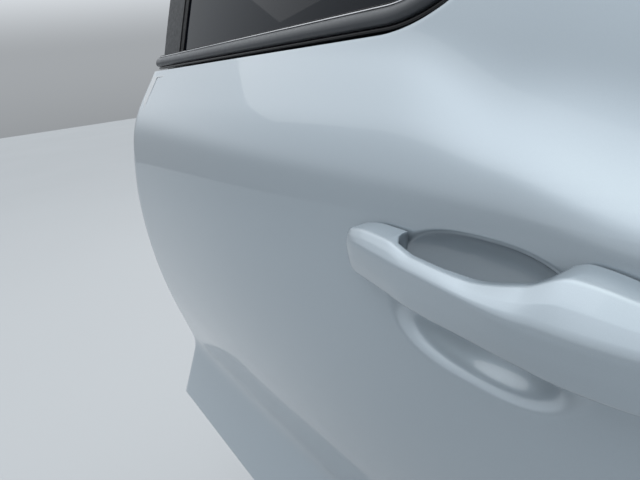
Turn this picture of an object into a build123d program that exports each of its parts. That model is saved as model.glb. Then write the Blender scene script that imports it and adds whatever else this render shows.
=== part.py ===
# Rear left side door of a compact crossover, complete with its hinges, lock, pull handle, window and
# interior lining, in millimetres. +X points to the rear of the vehicle, +Y inboard, +Z up.
# The origin is the centre of the lower hinge's two bolts, on the rear face of the door pillar.
import os
from math import cos, radians, sin, tan

from build123d import *

os.makedirs("parts", exist_ok=True)

# Overall outline of the outer skin, seen from the side
EDGE_X = 22.0  # front edge of the skin, from the pillar face
DOOR_LENGTH = 985.0  # front edge to rear edge
REAR_X = EDGE_X + DOOR_LENGTH
BELT_Z = 447.0  # waist line
SILL_Z = -224.0  # lower edge
FAR = 2.0 * DOOR_LENGTH  # beyond the door in any direction
KICK_LENGTH = 335.0  # the part of the waist line that rises towards the rear pillar
KICK_X = REAR_X - KICK_LENGTH
KICK_RISE = 200.0
KICK_R = 170.0
KICK_HALF = 15.4  # half of the turn there
REAR_DROP = 187.0  # waist line down to where the rear edge turns in over the wheel
WHEEL_BEHIND = 145.0  # wheel centre behind the rear edge
WHEEL_X = REAR_X + WHEEL_BEHIND
WHEEL_Z = SILL_Z + 14.0
WHEEL_CUT_R = 430.0
ARCH_X = WHEEL_X - WHEEL_CUT_R * cos(radians(45))
ARCH_Z = WHEEL_Z + WHEEL_CUT_R * sin(radians(45))

# Cross-section of the skin
SKIN_T = 1.2
OUT_Y = -80.0  # the outermost line of the skin
WIDEST_Z = BELT_Z - 257.0  # height of that line
SECTION_TOP_Z = BELT_Z + KICK_RISE + 25.0
SECTION_LOW_Z = SILL_Z - 20.0
LOWER_R = 902.0
LOWER_TURN = 13.8
LOWER_RUN = 72.0
SCALLOP_R = 60.0
FLARE_TURN = 37.8
SECTION_COUNT = 10
SECTION_RUN_OUT = (12.0, 15.0)  # sections past the front and rear edges
# Skin sections along the door. x from the rear edge, set_in of the widest line, then going up:
# side radius and turn, shoulder radius and turn, slope length, hollow radius and turn
STATIONS = (
    # x, set_in, side_r, side_turn, shoulder_r, shoulder_turn, slope, hollow_r, hollow_turn
    (-997.0, 1.5, 620.0, 13.2, 175.0, 22.8, 58.0, 120.0, 16.0),
    (-655.0, 0.0, 620.0, 13.2, 175.0, 22.8, 58.0, 120.0, 16.0),
    (-345.0, 3.0, 640.0, 12.8, 140.0, 24.2, 48.0, 120.0, 16.0),
    (-225.0, 3.0, 720.0, 11.6, 60.0, 32.4, 15.0, 140.0, 23.0),
    (-135.0, 1.5, 850.0, 9.3, 28.0, 40.7, 8.0, 140.0, 28.0),
    (15.0, -5.0, 900.0, 8.6, 22.0, 41.4, 6.0, 150.0, 28.0),
)

# Window
GLASS_T = 4.0
GLASS_R = 3000.0  # bow of the side glass in section
GLASS_Y = OUT_Y + 111.0  # outer face of the glass at the reference height below
GLASS_REF_Z = BELT_Z + 26.0
GLASS_LEAN = 18.2
ROOF_Z = BELT_Z + 408.0
ROOF_REAR_Z = BELT_Z + 318.0
SASH_W = 96.0
REAR_SASH_W = 62.0
HEADER_W = 40.0
SEAL_EDGE = 5.0  # frame set in from the skin's own edges
FRAME_T = 20.0
FRAME_LIP = 6.0
RUN_W = 14.0
RUN_PROUD = 2.4
GLASS_BITE = 8.0  # glass behind the lip of its rubber run
GLASS_DROP = 60.0  # glass below the waist line
COVER_T = 3.5
MOULDING_TOP = 25.0  # waist moulding's top edge above the waist line
MOULDING_LOW = 0.3
MOULDING_T = 18.0
DIVIDER_X = REAR_X - 273.0
DIVIDER_W = 26.0

# Inner panel
PANEL_T = 1.6
FIT = 0.3  # gap between pieces that rest on each other
HINGE_WALL_X = EDGE_X + 30.0
STEP_Y = OUT_Y + 78.0  # face that carries the weatherstrip
WEB_Y = OUT_Y + 146.0  # inboard face of the panel
EDGE_INSET = 13.0
WEB_INSET = 34.0
PANEL_TOP = 10.0  # panel's top edge below the waist line
HEM_INSET = 3.0
# Openings in the web for fitting the lock and the window lifter
SERVICE_HOLES = (
    # x, z, width, height
    (EDGE_X + 308.0, BELT_Z - 147.0, 230.0, 110.0),
    (EDGE_X + 578.0, BELT_Z - 147.0, 200.0, 120.0),
    (EDGE_X + 448.0, SILL_Z + 284.0, 250.0, 170.0),
)
HOLE_CORNER = 0.3  # corner radius as a share of the opening's height
SPEAKER_X = EDGE_X + 190.0
SPEAKER_Z = SILL_Z + 224.0
SPEAKER_R = 82.0

# Pull handle: places are from the rear edge of the skin and from the waist line
HANDLE_X = REAR_X - 338.0  # front tip
HANDLE_Z = BELT_Z - 161.0
GRIP_LENGTH = 233.0
CAP_GAP = 0.8
GASKET_T = 1.5
GRIP_LIFT = 0.6  # grip above its gasket
CUP_X = HANDLE_X + 115.0
CUP_Z = HANDLE_Z - 16.0
CUP_HALF_X = 74.0
CUP_HALF_Z = 52.0
# Form of the cup: depth behind the door's widest line, and share of the rim's size there
CUP_SHAPE = (
    # depth, share
    (-6.0, 1.06),
    (8.0, 1.0),
    (26.0, 0.86),
    (38.0, 0.55),
)
GRIP_PIVOT_X = HANDLE_X + 3.0
GRIP_PIVOT_Y = OUT_Y + 16.0
LUG_X = (HANDLE_X + 0.5, HANDLE_X + 8.0)
LUG_Z = HANDLE_Z + 4.0  # middle of lug and leg
LUG_R = 4.5
LUG_H = 12.0
LUG_PIN_R = 2.0
LUG_CLEAR = 3.0  # room for the lug in its hole
LEG_X = (HANDLE_X + 197.0, HANDLE_X + 211.0)
LEG_H = 12.0
LEG_DEPTH = 62.0
LEG_CLEAR = 5.0  # room for the leg in its hole
# Room for the fingers behind the grip, seen from above
FINGER_LINE = (
    # x from the front tip, out from the door's widest line, corner radius
    (58.0, -60.0, 0.5),
    (58.0, -2.0, 6.0),
    (67.0, 7.0, 12.0),
    (112.0, 14.0, 100.0),
    (168.0, 12.0, 14.0),
    (178.0, 2.0, 12.0),
    (178.0, -60.0, 0.5),
)
# Feet of the handle on the skin: the gasket under each
GASKETS = (
    # name, x0, x1, low, high
    ("front_handle_gasket", 15.0, 54.0, -12.0, 22.0),
    ("rear_handle_gasket", 182.0, 256.0, -13.0, 27.0),
)
# Sections of the grip and its cap, from the front tip. low, high and ridge are heights about the grip's
# middle; out, low_out and top_out are how far those lines stand out from the door's widest line
GRIP_SECTIONS = (
    # x, low, high, ridge, out, low_out, top_out, corner radius
    (-5.0, -3.0, 11.0, 4.0, -4.0, -4.5, -5.0, 1.5),
    (4.0, -11.0, 18.5, 9.5, 4.5, 2.5, 0.0, 3.0),
    (16.0, -14.0, 23.0, 13.0, 12.5, 8.5, 6.0, 5.0),
    (34.0, -15.0, 25.5, 15.0, 16.5, 11.5, 8.5, 5.5),
    (58.0, -15.0, 25.0, 15.0, 20.0, 16.5, 11.0, 5.5),
    (86.0, -15.0, 21.0, 15.0, 23.5, 22.5, 16.0, 5.5),
    (130.0, -15.0, 20.5, 15.0, 29.5, 26.0, 20.0, 5.5),
    (166.0, -15.5, 27.5, 15.0, 33.5, 27.5, 18.0, 5.5),
    (188.0, -16.0, 36.5, 15.5, 32.5, 28.0, 13.0, 5.5),
    (222.0, -16.0, 32.0, 15.0, 26.5, 24.0, 9.5, 5.5),
    (246.0, -14.0, 25.0, 12.0, 14.0, 11.5, 2.0, 4.0),
    (260.0, -9.0, 17.0, 8.0, -1.0, -2.0, -3.0, 2.0),
)

# Lock
LATCH_Z = BELT_Z - 97.0
LATCH_X = REAR_X - WEB_INSET - PANEL_T - FIT
LATCH_T = 44.0
LATCH_H = 96.0
LATCH_Y = (0.0, WEB_Y - PANEL_T - FIT)
FORK_Y = 28.0
FORK_Z = LATCH_Z + 12.0
FORK_R = 20.0
MOUTH_H = 16.0  # height of the striker's way in
STRIP_GAP = 56.0  # weatherstrip stops this far below the lock

# Interior trim
TRIM_INSET = 52.0
TRIM_T = 24.0
TRIM_WALL = 3.0
TRIM_EDGE_R = 2.0 * TRIM_WALL
TRIM_SPLIT_Z = BELT_Z - 95.0
TRIM_RISE = 14.0  # top of the trim above the waist line
UPPER_T = 32.0
RAIL_BACK = 58.0  # waist rail's inboard face behind the glass
ARMREST_X = (EDGE_X + 300.0, EDGE_X + 700.0)
ARMREST_Z = BELT_Z - 129.0
ARMREST_W = 64.0
PULL_X = (ARMREST_X[0] + 50.0, ARMREST_X[0] + 156.0)
PULL_W = 34.0
PULL_DEPTH = 42.0
SWITCH_X = (ARMREST_X[0] + 178.0, ARMREST_X[0] + 278.0)
RELEASE_X = (EDGE_X + 192.0, EDGE_X + 302.0)
RELEASE_Z = BELT_Z - 49.0
RELEASE_PIN_X = RELEASE_X[0] + 23.0
RELEASE_PIN_R = 2.0
POCKET_X = (EDGE_X + 318.0, EDGE_X + 588.0)
POCKET_Z = (SILL_Z + 96.0, SILL_Z + 250.0)
POCKET_W = 44.0

# Check strap, half way between the hinges
HINGE_Z = (0.0, 320.0)
CHECK_Z = sum(HINGE_Z) / 2
CHECK_X = 20.0
CHECK_Y = 24.0
CHECK_ARM_L = 122.0
CHECK_ARM_T = 5.0
CHECK_ARM_H = 16.0
CHECK_PIN_R = 3.0
CHECK_EYE_R = 6.5
CHECK_EAR_T = 4.0
CHECK_PLATE = (4.0, 28.0, 52.0)  # thickness, width and height of the bracket's plate
CHECK_HOLDER = (20.0, 52.0, 44.0)  # depth, width and height
CHECK_SLOT_Y = (CHECK_Y - 9.0, CHECK_Y + 9.0)
CHECK_WALL_X = EDGE_X + WEB_INSET

# Hinges
PIVOT_X = 30.0
PIVOT_Y = -28.0
HINGE_NAMES = ("lower_hinge", "upper_hinge")
PIN_R = 5.0
PIN_FIT = 0.05
KNUCKLE_R = 10.0
BOLT_R = 4.5
BOLT_PITCH = 44.0
PLATE_T = 6.0
PLATE_H = 74.0
EAR_T = 7.0
KNUCKLE_H = 34.0
BODY_LEAF_Y = (-16.0, 16.0)
DOOR_LEAF_Y = (-44.0, -6.0)
PIN_H = 49.0


def side_plane(y):
    """Plane seen from the left side of the vehicle, at that Y."""
    return Plane.XZ.offset(-y)


def section_line(station, shift):
    """The skin's profile at one station, from its top down to its foot, moved inboard by shift."""
    x, set_in, side_r, side_turn, shoulder_r, shoulder_turn, slope, hollow_r, hollow_turn = station
    start = (OUT_Y + set_in + shift, WIDEST_Z)
    side = JernArc(start, (0, 1), side_r, -side_turn)
    shoulder = JernArc(side @ 1, side % 1, shoulder_r, -shoulder_turn)
    rise = Line(shoulder @ 1, shoulder @ 1 + (shoulder % 1) * slope)
    hollow = JernArc(rise @ 1, rise % 1, hollow_r, hollow_turn)
    up = hollow % 1
    top = Line(hollow @ 1, hollow @ 1 + up * ((SECTION_TOP_Z - (hollow @ 1).Y) / up.Y))
    lower = JernArc(start, (0, -1), LOWER_R, LOWER_TURN)
    tuck = Line(lower @ 1, lower @ 1 + (lower % 1) * LOWER_RUN)
    scallop = JernArc(tuck @ 1, tuck % 1, SCALLOP_R, -FLARE_TURN)
    down = scallop % 1
    foot = Line(scallop @ 1, scallop @ 1 + down * ((SECTION_LOW_Z - (scallop @ 1).Y) / down.Y))
    return top @ 1, foot @ 1


def station_at(x):
    """The skin's section values at x from the rear edge, between the stations of the table."""
    ahead = next(row for row in STATIONS[1:] if x <= row[0] or row is STATIONS[-1])
    behind = STATIONS[STATIONS.index(ahead) - 1]
    share = max(0.0, x - behind[0]) / (ahead[0] - behind[0])
    return [low + share * (high - low) for low, high in zip(behind, ahead)]


def skin_body(front, back, mode=Mode.ADD):
    """Adds a slab that follows the skin, from front to back millimetres behind its outer face."""
    sections = []
    first = -DOOR_LENGTH - SECTION_RUN_OUT[0]
    pitch = (SECTION_RUN_OUT[1] - first) / (SECTION_COUNT - 1)
    for index in range(SECTION_COUNT):
        x = first + index * pitch
        station = station_at(x)
        with BuildSketch(Plane.YZ.offset(REAR_X + x)) as section:
            with BuildLine():
                top_a, foot_a = section_line(station, front)
                top_b, foot_b = section_line(station, back)
                Line(top_a, top_b)
                Line(foot_a, foot_b)
            make_face()
        sections.append(section.sketch)
    loft(sections, mode=mode)


def waist_line(raised):
    """Where the waist line turns up and where it meets the rear edge, raised square to itself."""
    kick = (KICK_X - raised * tan(radians(KICK_HALF)), BELT_Z + raised)
    return kick, (REAR_X, BELT_Z + KICK_RISE + raised / cos(radians(2 * KICK_HALF)))


def along_waist(raised, x):
    """Point at x on the rising part of the waist line."""
    kick, rear = waist_line(raised)
    return x, rear[1] - (REAR_X - x) * (rear[1] - kick[1]) / (REAR_X - kick[0])


def skin_outline(y, inset=0.0, front=0.0, top=0.0):
    """The door's outline below the window, its edges moved in by inset, the front and top ones by more."""
    edge = EDGE_X + max(inset, front)
    with BuildSketch(side_plane(y)) as outline:
        with BuildLine():
            FilletPolyline(
                (edge, SILL_Z + inset),
                (edge, BELT_Z - top),
                waist_line(-top)[0],
                along_waist(-top, REAR_X - inset),
                (REAR_X - inset, BELT_Z - REAR_DROP),
                (ARCH_X - 0.7 * inset, ARCH_Z + 0.7 * inset),
                (ARCH_X - 0.7 * inset, SILL_Z + inset),
                radius=[8, 2, KICK_R + top, 8, 70, 2, 2],
                close=True,
            )
        make_face()
        with Locations((WHEEL_X, WHEEL_Z)):
            Circle(WHEEL_CUT_R + inset, mode=Mode.SUBTRACT)
    return outline.sketch


def side_prism(sketch, y_from, y_to, mode=Mode.ADD):
    """Extrudes a side-view sketch, drawn at y_from, inboard to y_to."""
    extrude(sketch, amount=y_from - y_to, mode=mode)


def block(x0, x1, y0, y1, z0, z1, mode=Mode.ADD):
    """Adds or cuts the box between two corners."""
    with Locations(((x0 + x1) / 2, (y0 + y1) / 2, (z0 + z1) / 2)):
        Box(x1 - x0, y1 - y0, z1 - z0, mode=mode)


def glass_slab(front, back, mode):
    """Keeps or adds the layer that follows the side glass, front to back millimetres behind its face."""
    lean = radians(GLASS_LEAN)
    axis_y = GLASS_Y + GLASS_R * cos(lean)
    axis_z = GLASS_REF_Z - GLASS_R * sin(lean)
    with BuildSketch(Plane.YZ.offset(EDGE_X)) as ring:
        with Locations((axis_y, axis_z)):
            Circle(GLASS_R - front)
            Circle(GLASS_R - back, mode=Mode.SUBTRACT)
    extrude(ring.sketch, amount=DOOR_LENGTH, mode=mode)


def polygon(y, points, radius):
    """A side-view outline with rounded corners."""
    with BuildSketch(side_plane(y)) as outline:
        with BuildLine():
            FilletPolyline(*points, radius=radius, close=True)
        make_face()
    return outline.sketch


def save(builder, name):
    """Names the finished piece and writes its STEP file."""
    builder.part.label = name
    export_step(builder.part, f"parts/{name}.step")


PRISM_Y = OUT_Y - 60.0
PRISM_END_Y = OUT_Y + 420.0


def window_outline(rear, front, top, low):
    """Window outline with its rear, front and top edges moved in and its lower edge raised."""
    x1 = REAR_X - rear
    return polygon(
        PRISM_Y,
        (
            (EDGE_X + front, BELT_Z + low),
            (EDGE_X + front, ROOF_Z - top),
            (EDGE_X + 0.55 * DOOR_LENGTH, ROOF_Z - 6.0 - top),
            (x1, ROOF_REAR_Z - top),
            along_waist(low, x1),
            waist_line(low)[0],
        ),
        [2, 22, 1400, 18, 3, KICK_R - low],
    )


def grip_body():
    """Adds the pull handle's outer form, grip and rear cap together."""
    sections = []
    for x, low, high, ridge, out, low_out, top_out, corner in GRIP_SECTIONS:
        with BuildSketch(Plane.YZ.offset(HANDLE_X + x)) as section:
            with BuildLine():
                FilletPolyline(
                    (OUT_Y + 40.0, HANDLE_Z + low),
                    (OUT_Y - low_out, HANDLE_Z + low),
                    (OUT_Y - out, HANDLE_Z + ridge),
                    (OUT_Y - top_out, HANDLE_Z + high),
                    (OUT_Y + 40.0, HANDLE_Z + high),
                    radius=[0.5, corner, corner, corner, 0.5],
                    close=True,
                )
            make_face()
        sections.append(section.sketch)
    loft(sections)


def cup_body(wall):
    """Adds the hollow of the cup, larger by its wall."""
    sections = []
    for depth, share in CUP_SHAPE:
        with BuildSketch(side_plane(OUT_Y + depth + wall)) as section:
            with Locations((CUP_X, CUP_Z)):
                Ellipse(CUP_HALF_X * share + wall, CUP_HALF_Z * share + wall)
        sections.append(section.sketch)
    loft(sections)


def ring_piece(outer, inner, front, back, x0=0.0, x1=FAR):
    """A band between two window outlines, in the layer from front to back behind the glass face."""
    with BuildPart() as piece:
        with BuildSketch(side_plane(PRISM_Y)) as band:
            add(window_outline(*outer))
            add(window_outline(*inner), mode=Mode.SUBTRACT)
        side_prism(band.sketch, PRISM_Y, PRISM_END_Y)
        block(x0, x1, PRISM_Y, PRISM_END_Y, 0.0, FAR, Mode.INTERSECT)
        glass_slab(front, back, Mode.INTERSECT)
    return piece


def pane(outline, front, back):
    """A piece of the side view in the layer from front to back behind the glass face."""
    with BuildPart() as piece:
        side_prism(outline, PRISM_Y, PRISM_END_Y)
        glass_slab(front, back, Mode.INTERSECT)
    return piece


def glass_outline(x0, x1, low):
    """Window opening between two x values, its lower edge raised above the waist line."""
    with BuildSketch(side_plane(PRISM_Y)) as outline:
        add(window_outline(REAR_SASH_W - GLASS_BITE, SASH_W - GLASS_BITE, HEADER_W - GLASS_BITE, low))
        with Locations(((x0 + x1) / 2, BELT_Z)):
            Rectangle(x1 - x0, FAR, mode=Mode.INTERSECT)
    return outline.sketch


def window_band(x0, x1, low, high):
    """Strip along the waist line between two heights above it, from x0 to x1."""
    with BuildSketch(side_plane(PRISM_Y)) as band:
        with BuildLine():
            FilletPolyline(
                (x0, BELT_Z + low),
                waist_line(low)[0],
                along_waist(low, x1),
                along_waist(high, x1),
                waist_line(high)[0],
                (x0, BELT_Z + high),
                radius=[0.5, KICK_R - low, 0.5, 0.5, KICK_R - high, 0.5],
                close=True,
            )
        make_face()
    return band.sketch


def bar_outline(margin=0.0, lip=0.0):
    """The division bar in side view, from above the waist moulding to below the header cover."""
    with BuildSketch(side_plane(PRISM_Y)) as bar:
        add(window_outline(REAR_SASH_W + lip, SASH_W + lip, HEADER_W + lip, MOULDING_TOP + FIT))
        with Locations((DIVIDER_X + DIVIDER_W / 2, BELT_Z)):
            Rectangle(DIVIDER_W - 2 * margin, FAR, mode=Mode.INTERSECT)
    return bar.sketch


# Outer skin with the cup behind the grip
with BuildPart() as cup_hollow:
    cup_body(0.0)
with BuildPart() as cup_dish:
    cup_body(SKIN_T)
    skin_body(0.0, 120.0, Mode.INTERSECT)
with BuildPart() as outer_skin:
    skin_body(0.0, SKIN_T)
    side_prism(skin_outline(PRISM_Y), PRISM_Y, PRISM_END_Y, Mode.INTERSECT)
    add(cup_dish.part)
    add(cup_hollow.part, mode=Mode.SUBTRACT)
HANDLE_HOLES = (
    # x0, x1, height
    (LUG_X[0] - LUG_CLEAR, LUG_X[1] + LUG_CLEAR, LUG_H + 2 * LUG_CLEAR),
    (LEG_X[0] - LEG_CLEAR, LEG_X[1] + LEG_CLEAR, LEG_H + 2 * LEG_CLEAR),
)


def handle_holes(y_end, mode):
    """Cuts the ways in for the handle's front lug and rear leg, down to y_end."""
    for x0, x1, height in HANDLE_HOLES:
        block(x0, x1, PRISM_Y, y_end, LUG_Z - height / 2, LUG_Z + height / 2, mode)


with outer_skin:
    handle_holes(OUT_Y + 40.0, Mode.SUBTRACT)
save(outer_skin, "outer_skin")

# Inner panel: a two-step tray whose rim follows the skin, with the openings a pressed panel has
with BuildPart() as inner_panel:
    for wall, mode in ((0.0, Mode.ADD), (PANEL_T, Mode.SUBTRACT)):
        front = HINGE_WALL_X - EDGE_X + wall
        for inset, y_end in ((EDGE_INSET, STEP_Y), (WEB_INSET, WEB_Y)):
            outline = skin_outline(PRISM_Y, inset + wall, front, PANEL_TOP + wall)
            side_prism(outline, PRISM_Y, y_end - wall, mode)
    with BuildSketch(side_plane(PRISM_Y)) as rim:
        add(skin_outline(PRISM_Y, HEM_INSET, HEM_INSET, PANEL_TOP))
        tray_front = HINGE_WALL_X - EDGE_X + 1.0
        add(skin_outline(PRISM_Y, EDGE_INSET + 1.0, tray_front, PANEL_TOP + 1.0), mode=Mode.SUBTRACT)
with BuildPart() as hem:
    side_prism(rim.sketch, PRISM_Y, PRISM_END_Y)
    skin_body(SKIN_T + FIT, SKIN_T + FIT + PANEL_T, Mode.INTERSECT)
with inner_panel:
    skin_body(SKIN_T + FIT, 300.0, Mode.INTERSECT)
    add(hem.part)
    with BuildSketch(side_plane(STEP_Y)) as service_holes:
        for x, z, width, height in SERVICE_HOLES:
            with Locations((x, z)):
                RectangleRounded(width, height, HOLE_CORNER * height)
        with Locations((SPEAKER_X, SPEAKER_Z)):
            Circle(SPEAKER_R - 8.0)
    side_prism(service_holes.sketch, STEP_Y, WEB_Y + 1.0, Mode.SUBTRACT)
    # slot that the glass drops through
    glass_slot = pane(glass_outline(EDGE_X + SASH_W - RUN_W, DIVIDER_X + RUN_W, -30.0), -8.0, GLASS_T + 7.0)
    add(glass_slot.part, mode=Mode.SUBTRACT)
    # slot of the check arm, window for the lock's face, and the striker's way in
    slot_z = (CHECK_Z - 14.0, CHECK_Z + 14.0)
    block(HINGE_WALL_X - 2.0, HINGE_WALL_X + 8.0, *CHECK_SLOT_Y, *slot_z, Mode.SUBTRACT)
    wall_x = REAR_X - WEB_INSET
    block(wall_x - 3.0, wall_x + 2.0, 8.0, 58.0, LATCH_Z - 40.0, LATCH_Z + 40.0, Mode.SUBTRACT)
    mouth = (LATCH_Z - MOUTH_H / 2, LATCH_Z + MOUTH_H / 2)
    block(wall_x - 24.0, wall_x + 2.0, FORK_Y - 8.0, WEB_Y + 1.0, *mouth, Mode.SUBTRACT)
save(inner_panel, "inner_panel")


# Window frame, the rubber run its glass slides in, and its outer covers
FOOT = -PANEL_TOP + FIT
FRAME_BACK = GLASS_T + FRAME_T
glass_edge = (REAR_SASH_W, SASH_W, HEADER_W)
outer_edge = (SEAL_EDGE, SEAL_EDGE, SEAL_EDGE)
lip_edge = (REAR_SASH_W + FRAME_LIP, SASH_W + FRAME_LIP, HEADER_W + FRAME_LIP)
window_frame = ring_piece((*outer_edge, FOOT), (*lip_edge, -60.0), GLASS_T + FIT, FRAME_BACK)
save(window_frame, "window_frame")

glass_run = ring_piece(
    (REAR_SASH_W - RUN_W, SASH_W - RUN_W, HEADER_W - RUN_W, MOULDING_TOP + FIT),
    (REAR_SASH_W, SASH_W, HEADER_W, -60.0),
    -RUN_PROUD,
    GLASS_T,
)
groove_edge = (REAR_SASH_W - GLASS_BITE - FIT, SASH_W - GLASS_BITE - FIT, HEADER_W - GLASS_BITE - FIT)
groove = pane(window_outline(*groove_edge, -70.0), -FIT, GLASS_T + 1.0)
with glass_run:
    add(groove.part, mode=Mode.SUBTRACT)
save(glass_run, "glass_run")

COVERS = (
    # name, x0, x1
    ("front_sash_cover", EDGE_X, EDGE_X + SASH_W),
    ("header_cover", EDGE_X + SASH_W + FIT, REAR_X - REAR_SASH_W - FIT),
    ("rear_sash_cover", REAR_X - REAR_SASH_W, REAR_X + 50.0),
)
for name, x0, x1 in COVERS:
    cover = ring_piece(
        (3.0, 3.0, 0.0, MOULDING_TOP + FIT),
        (REAR_SASH_W - RUN_W - FIT, SASH_W - RUN_W - FIT, HEADER_W - RUN_W - FIT, -60.0),
        -COVER_T,
        0.0,
        x0,
        x1,
    )
    save(cover, name)

# Glass
door_glass = pane(glass_outline(0.0, DIVIDER_X + GLASS_BITE, -GLASS_DROP), 0.0, GLASS_T)
save(door_glass, "door_glass")
quarter_glass = pane(glass_outline(DIVIDER_X + DIVIDER_W - GLASS_BITE, FAR, 4.0), 0.0, GLASS_T)
save(quarter_glass, "quarter_glass")

# Hinges: a leaf on the pillar with two ears, a leaf on the door with one knuckle, and a pin
for name, z in zip(HINGE_NAMES, HINGE_Z):
    with BuildPart() as body_leaf:
        block(0.0, PLATE_T, BODY_LEAF_Y[0], BODY_LEAF_Y[1], z - PLATE_H / 2, z + PLATE_H / 2)
        for side in (-1, 1):
            ear_z = z + side * (KNUCKLE_H / 2 + FIT + EAR_T / 2)
            with BuildSketch(Plane.XY.offset(ear_z - EAR_T / 2)) as ear:
                with BuildLine():
                    Polyline(
                        (0.0, BODY_LEAF_Y[1]),
                        (0.0, BODY_LEAF_Y[0]),
                        (PIVOT_X - KNUCKLE_R, PIVOT_Y),
                        (PIVOT_X + 0.6 * KNUCKLE_R, PIVOT_Y + 0.8 * KNUCKLE_R),
                        close=True,
                    )
                make_face()
                with Locations((PIVOT_X, PIVOT_Y)):
                    Circle(KNUCKLE_R)
            extrude(ear.sketch, amount=EAR_T)
        with Locations((PIVOT_X, PIVOT_Y, z)):
            Cylinder(PIN_R + PIN_FIT, PLATE_H, mode=Mode.SUBTRACT)
        for side in (-1, 1):
            with Locations(Location((0.0, 0.0, z + side * BOLT_PITCH / 2), (0, 90, 0))):
                Cylinder(BOLT_R, 4 * PLATE_T, mode=Mode.SUBTRACT)
    save(body_leaf, f"{name}_pillar_leaf")
    with BuildPart() as pin:
        with Locations((PIVOT_X, PIVOT_Y, z - PIN_H / 2)):
            Cylinder(PIN_R, PIN_H, align=(Align.CENTER, Align.CENTER, Align.MIN))
        with Locations((PIVOT_X, PIVOT_Y, z + PIN_H / 2)):
            Cylinder(PIN_R + 2.0, 3.0, align=(Align.CENTER, Align.CENTER, Align.MIN))
    save(pin, f"{name}_pin")
    with BuildPart() as door_leaf:
        plate_x = HINGE_WALL_X - FIT - PLATE_T
        block(plate_x, plate_x + PLATE_T, DOOR_LEAF_Y[0], DOOR_LEAF_Y[1], z - PLATE_H / 2, z + PLATE_H / 2)
        knuckle_z = (z - KNUCKLE_H / 2, z + KNUCKLE_H / 2)
        block(PIVOT_X, plate_x, PIVOT_Y - KNUCKLE_R, PIVOT_Y + KNUCKLE_R, *knuckle_z)
        with Locations((PIVOT_X, PIVOT_Y, z)):
            Cylinder(KNUCKLE_R, KNUCKLE_H)
            Cylinder(PIN_R + PIN_FIT, PLATE_H, mode=Mode.SUBTRACT)
    save(door_leaf, f"{name}_door_leaf")

# Check strap: its bracket on the pillar, the arm, and the holder behind the hinge wall
with BuildPart() as check_bracket:
    plate_t, plate_w, plate_h = CHECK_PLATE
    ear_r = CHECK_EYE_R + 0.5
    with Locations((plate_t / 2, CHECK_Y, CHECK_Z)):
        Box(plate_t, plate_w, plate_h)
    for side in (-1, 1):
        ear_z = CHECK_Z + side * (CHECK_ARM_H / 2 + FIT + CHECK_EAR_T / 2)
        with BuildSketch(Plane.XY.offset(ear_z - CHECK_EAR_T / 2)) as ear:
            with Locations((CHECK_X / 2, CHECK_Y)):
                Rectangle(CHECK_X, 2 * ear_r)
            with Locations((CHECK_X, CHECK_Y)):
                Circle(ear_r)
        extrude(ear.sketch, amount=CHECK_EAR_T)
    with Locations((CHECK_X, CHECK_Y, CHECK_Z)):
        Cylinder(CHECK_PIN_R, CHECK_ARM_H + 3 * CHECK_EAR_T)
save(check_bracket, "check_bracket")

with BuildPart() as check_arm:
    with BuildSketch(Plane.XY.offset(CHECK_Z - CHECK_ARM_H / 2)) as arm:
        with Locations((CHECK_X + CHECK_ARM_L / 2, CHECK_Y)):
            Rectangle(CHECK_ARM_L, CHECK_ARM_T)
        with Locations((CHECK_X, CHECK_Y)):
            Circle(CHECK_EYE_R)
            Circle(CHECK_PIN_R + PIN_FIT, mode=Mode.SUBTRACT)
        with Locations((CHECK_X + CHECK_ARM_L, CHECK_Y)):
            RectangleRounded(8.0, 12.0, 2.0)
    extrude(arm.sketch, amount=CHECK_ARM_H)
save(check_arm, "check_arm")

with BuildPart() as check_holder:
    x0 = CHECK_WALL_X + PANEL_T + FIT
    depth, width, height = CHECK_HOLDER
    block(x0, x0 + depth, CHECK_Y - 22.0, CHECK_Y - 22.0 + width, CHECK_Z - height / 2, CHECK_Z + height / 2)
    with BuildSketch(Plane.XY.offset(CHECK_Z - CHECK_ARM_H / 2 - FIT)) as channel:
        with BuildLine():
            Polyline(
                (x0 - 1.0, CHECK_SLOT_Y[0]),
                (x0 + depth + 1.0, CHECK_SLOT_Y[0]),
                (x0 + depth + 1.0, CHECK_SLOT_Y[1] + 12.0),
                (x0 - 1.0, CHECK_SLOT_Y[1]),
                close=True,
            )
        make_face()
    extrude(channel.sketch, amount=CHECK_ARM_H + 2 * FIT, mode=Mode.SUBTRACT)
save(check_holder, "check_holder")

# Pull handle: the grip with its front lug and rear leg, the fixed cap behind it, and their gaskets
with BuildPart() as handle_form:
    grip_body()
with BuildPart() as handle_grip:
    add(handle_form.part)
    block(HANDLE_X - 10.0, HANDLE_X + GRIP_LENGTH, PRISM_Y, OUT_Y + 60.0, 0.0, BELT_Z, Mode.INTERSECT)
    skin_body(-100.0, -GASKET_T - FIT - GRIP_LIFT, Mode.INTERSECT)
    with BuildSketch(Plane.XY.offset(HANDLE_Z - 80.0)) as finger_gap:
        with BuildLine():
            FilletPolyline(
                *[(HANDLE_X + x, OUT_Y - out) for x, out, corner in FINGER_LINE],
                radius=[corner for x, out, corner in FINGER_LINE],
                close=True,
            )
        make_face()
    extrude(finger_gap.sketch, amount=160.0, mode=Mode.SUBTRACT)
    block(*LUG_X, OUT_Y, GRIP_PIVOT_Y, LUG_Z - LUG_H / 2, LUG_Z + LUG_H / 2)
    block(*LEG_X, OUT_Y - 8.0, OUT_Y + LEG_DEPTH, LUG_Z - LEG_H / 2, LUG_Z + LEG_H / 2)
    with Locations((GRIP_PIVOT_X, GRIP_PIVOT_Y, LUG_Z)):
        Cylinder(LUG_R, LUG_H)
        Cylinder(LUG_PIN_R + PIN_FIT, 4 * LUG_H, mode=Mode.SUBTRACT)
save(handle_grip, "handle_grip")

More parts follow.
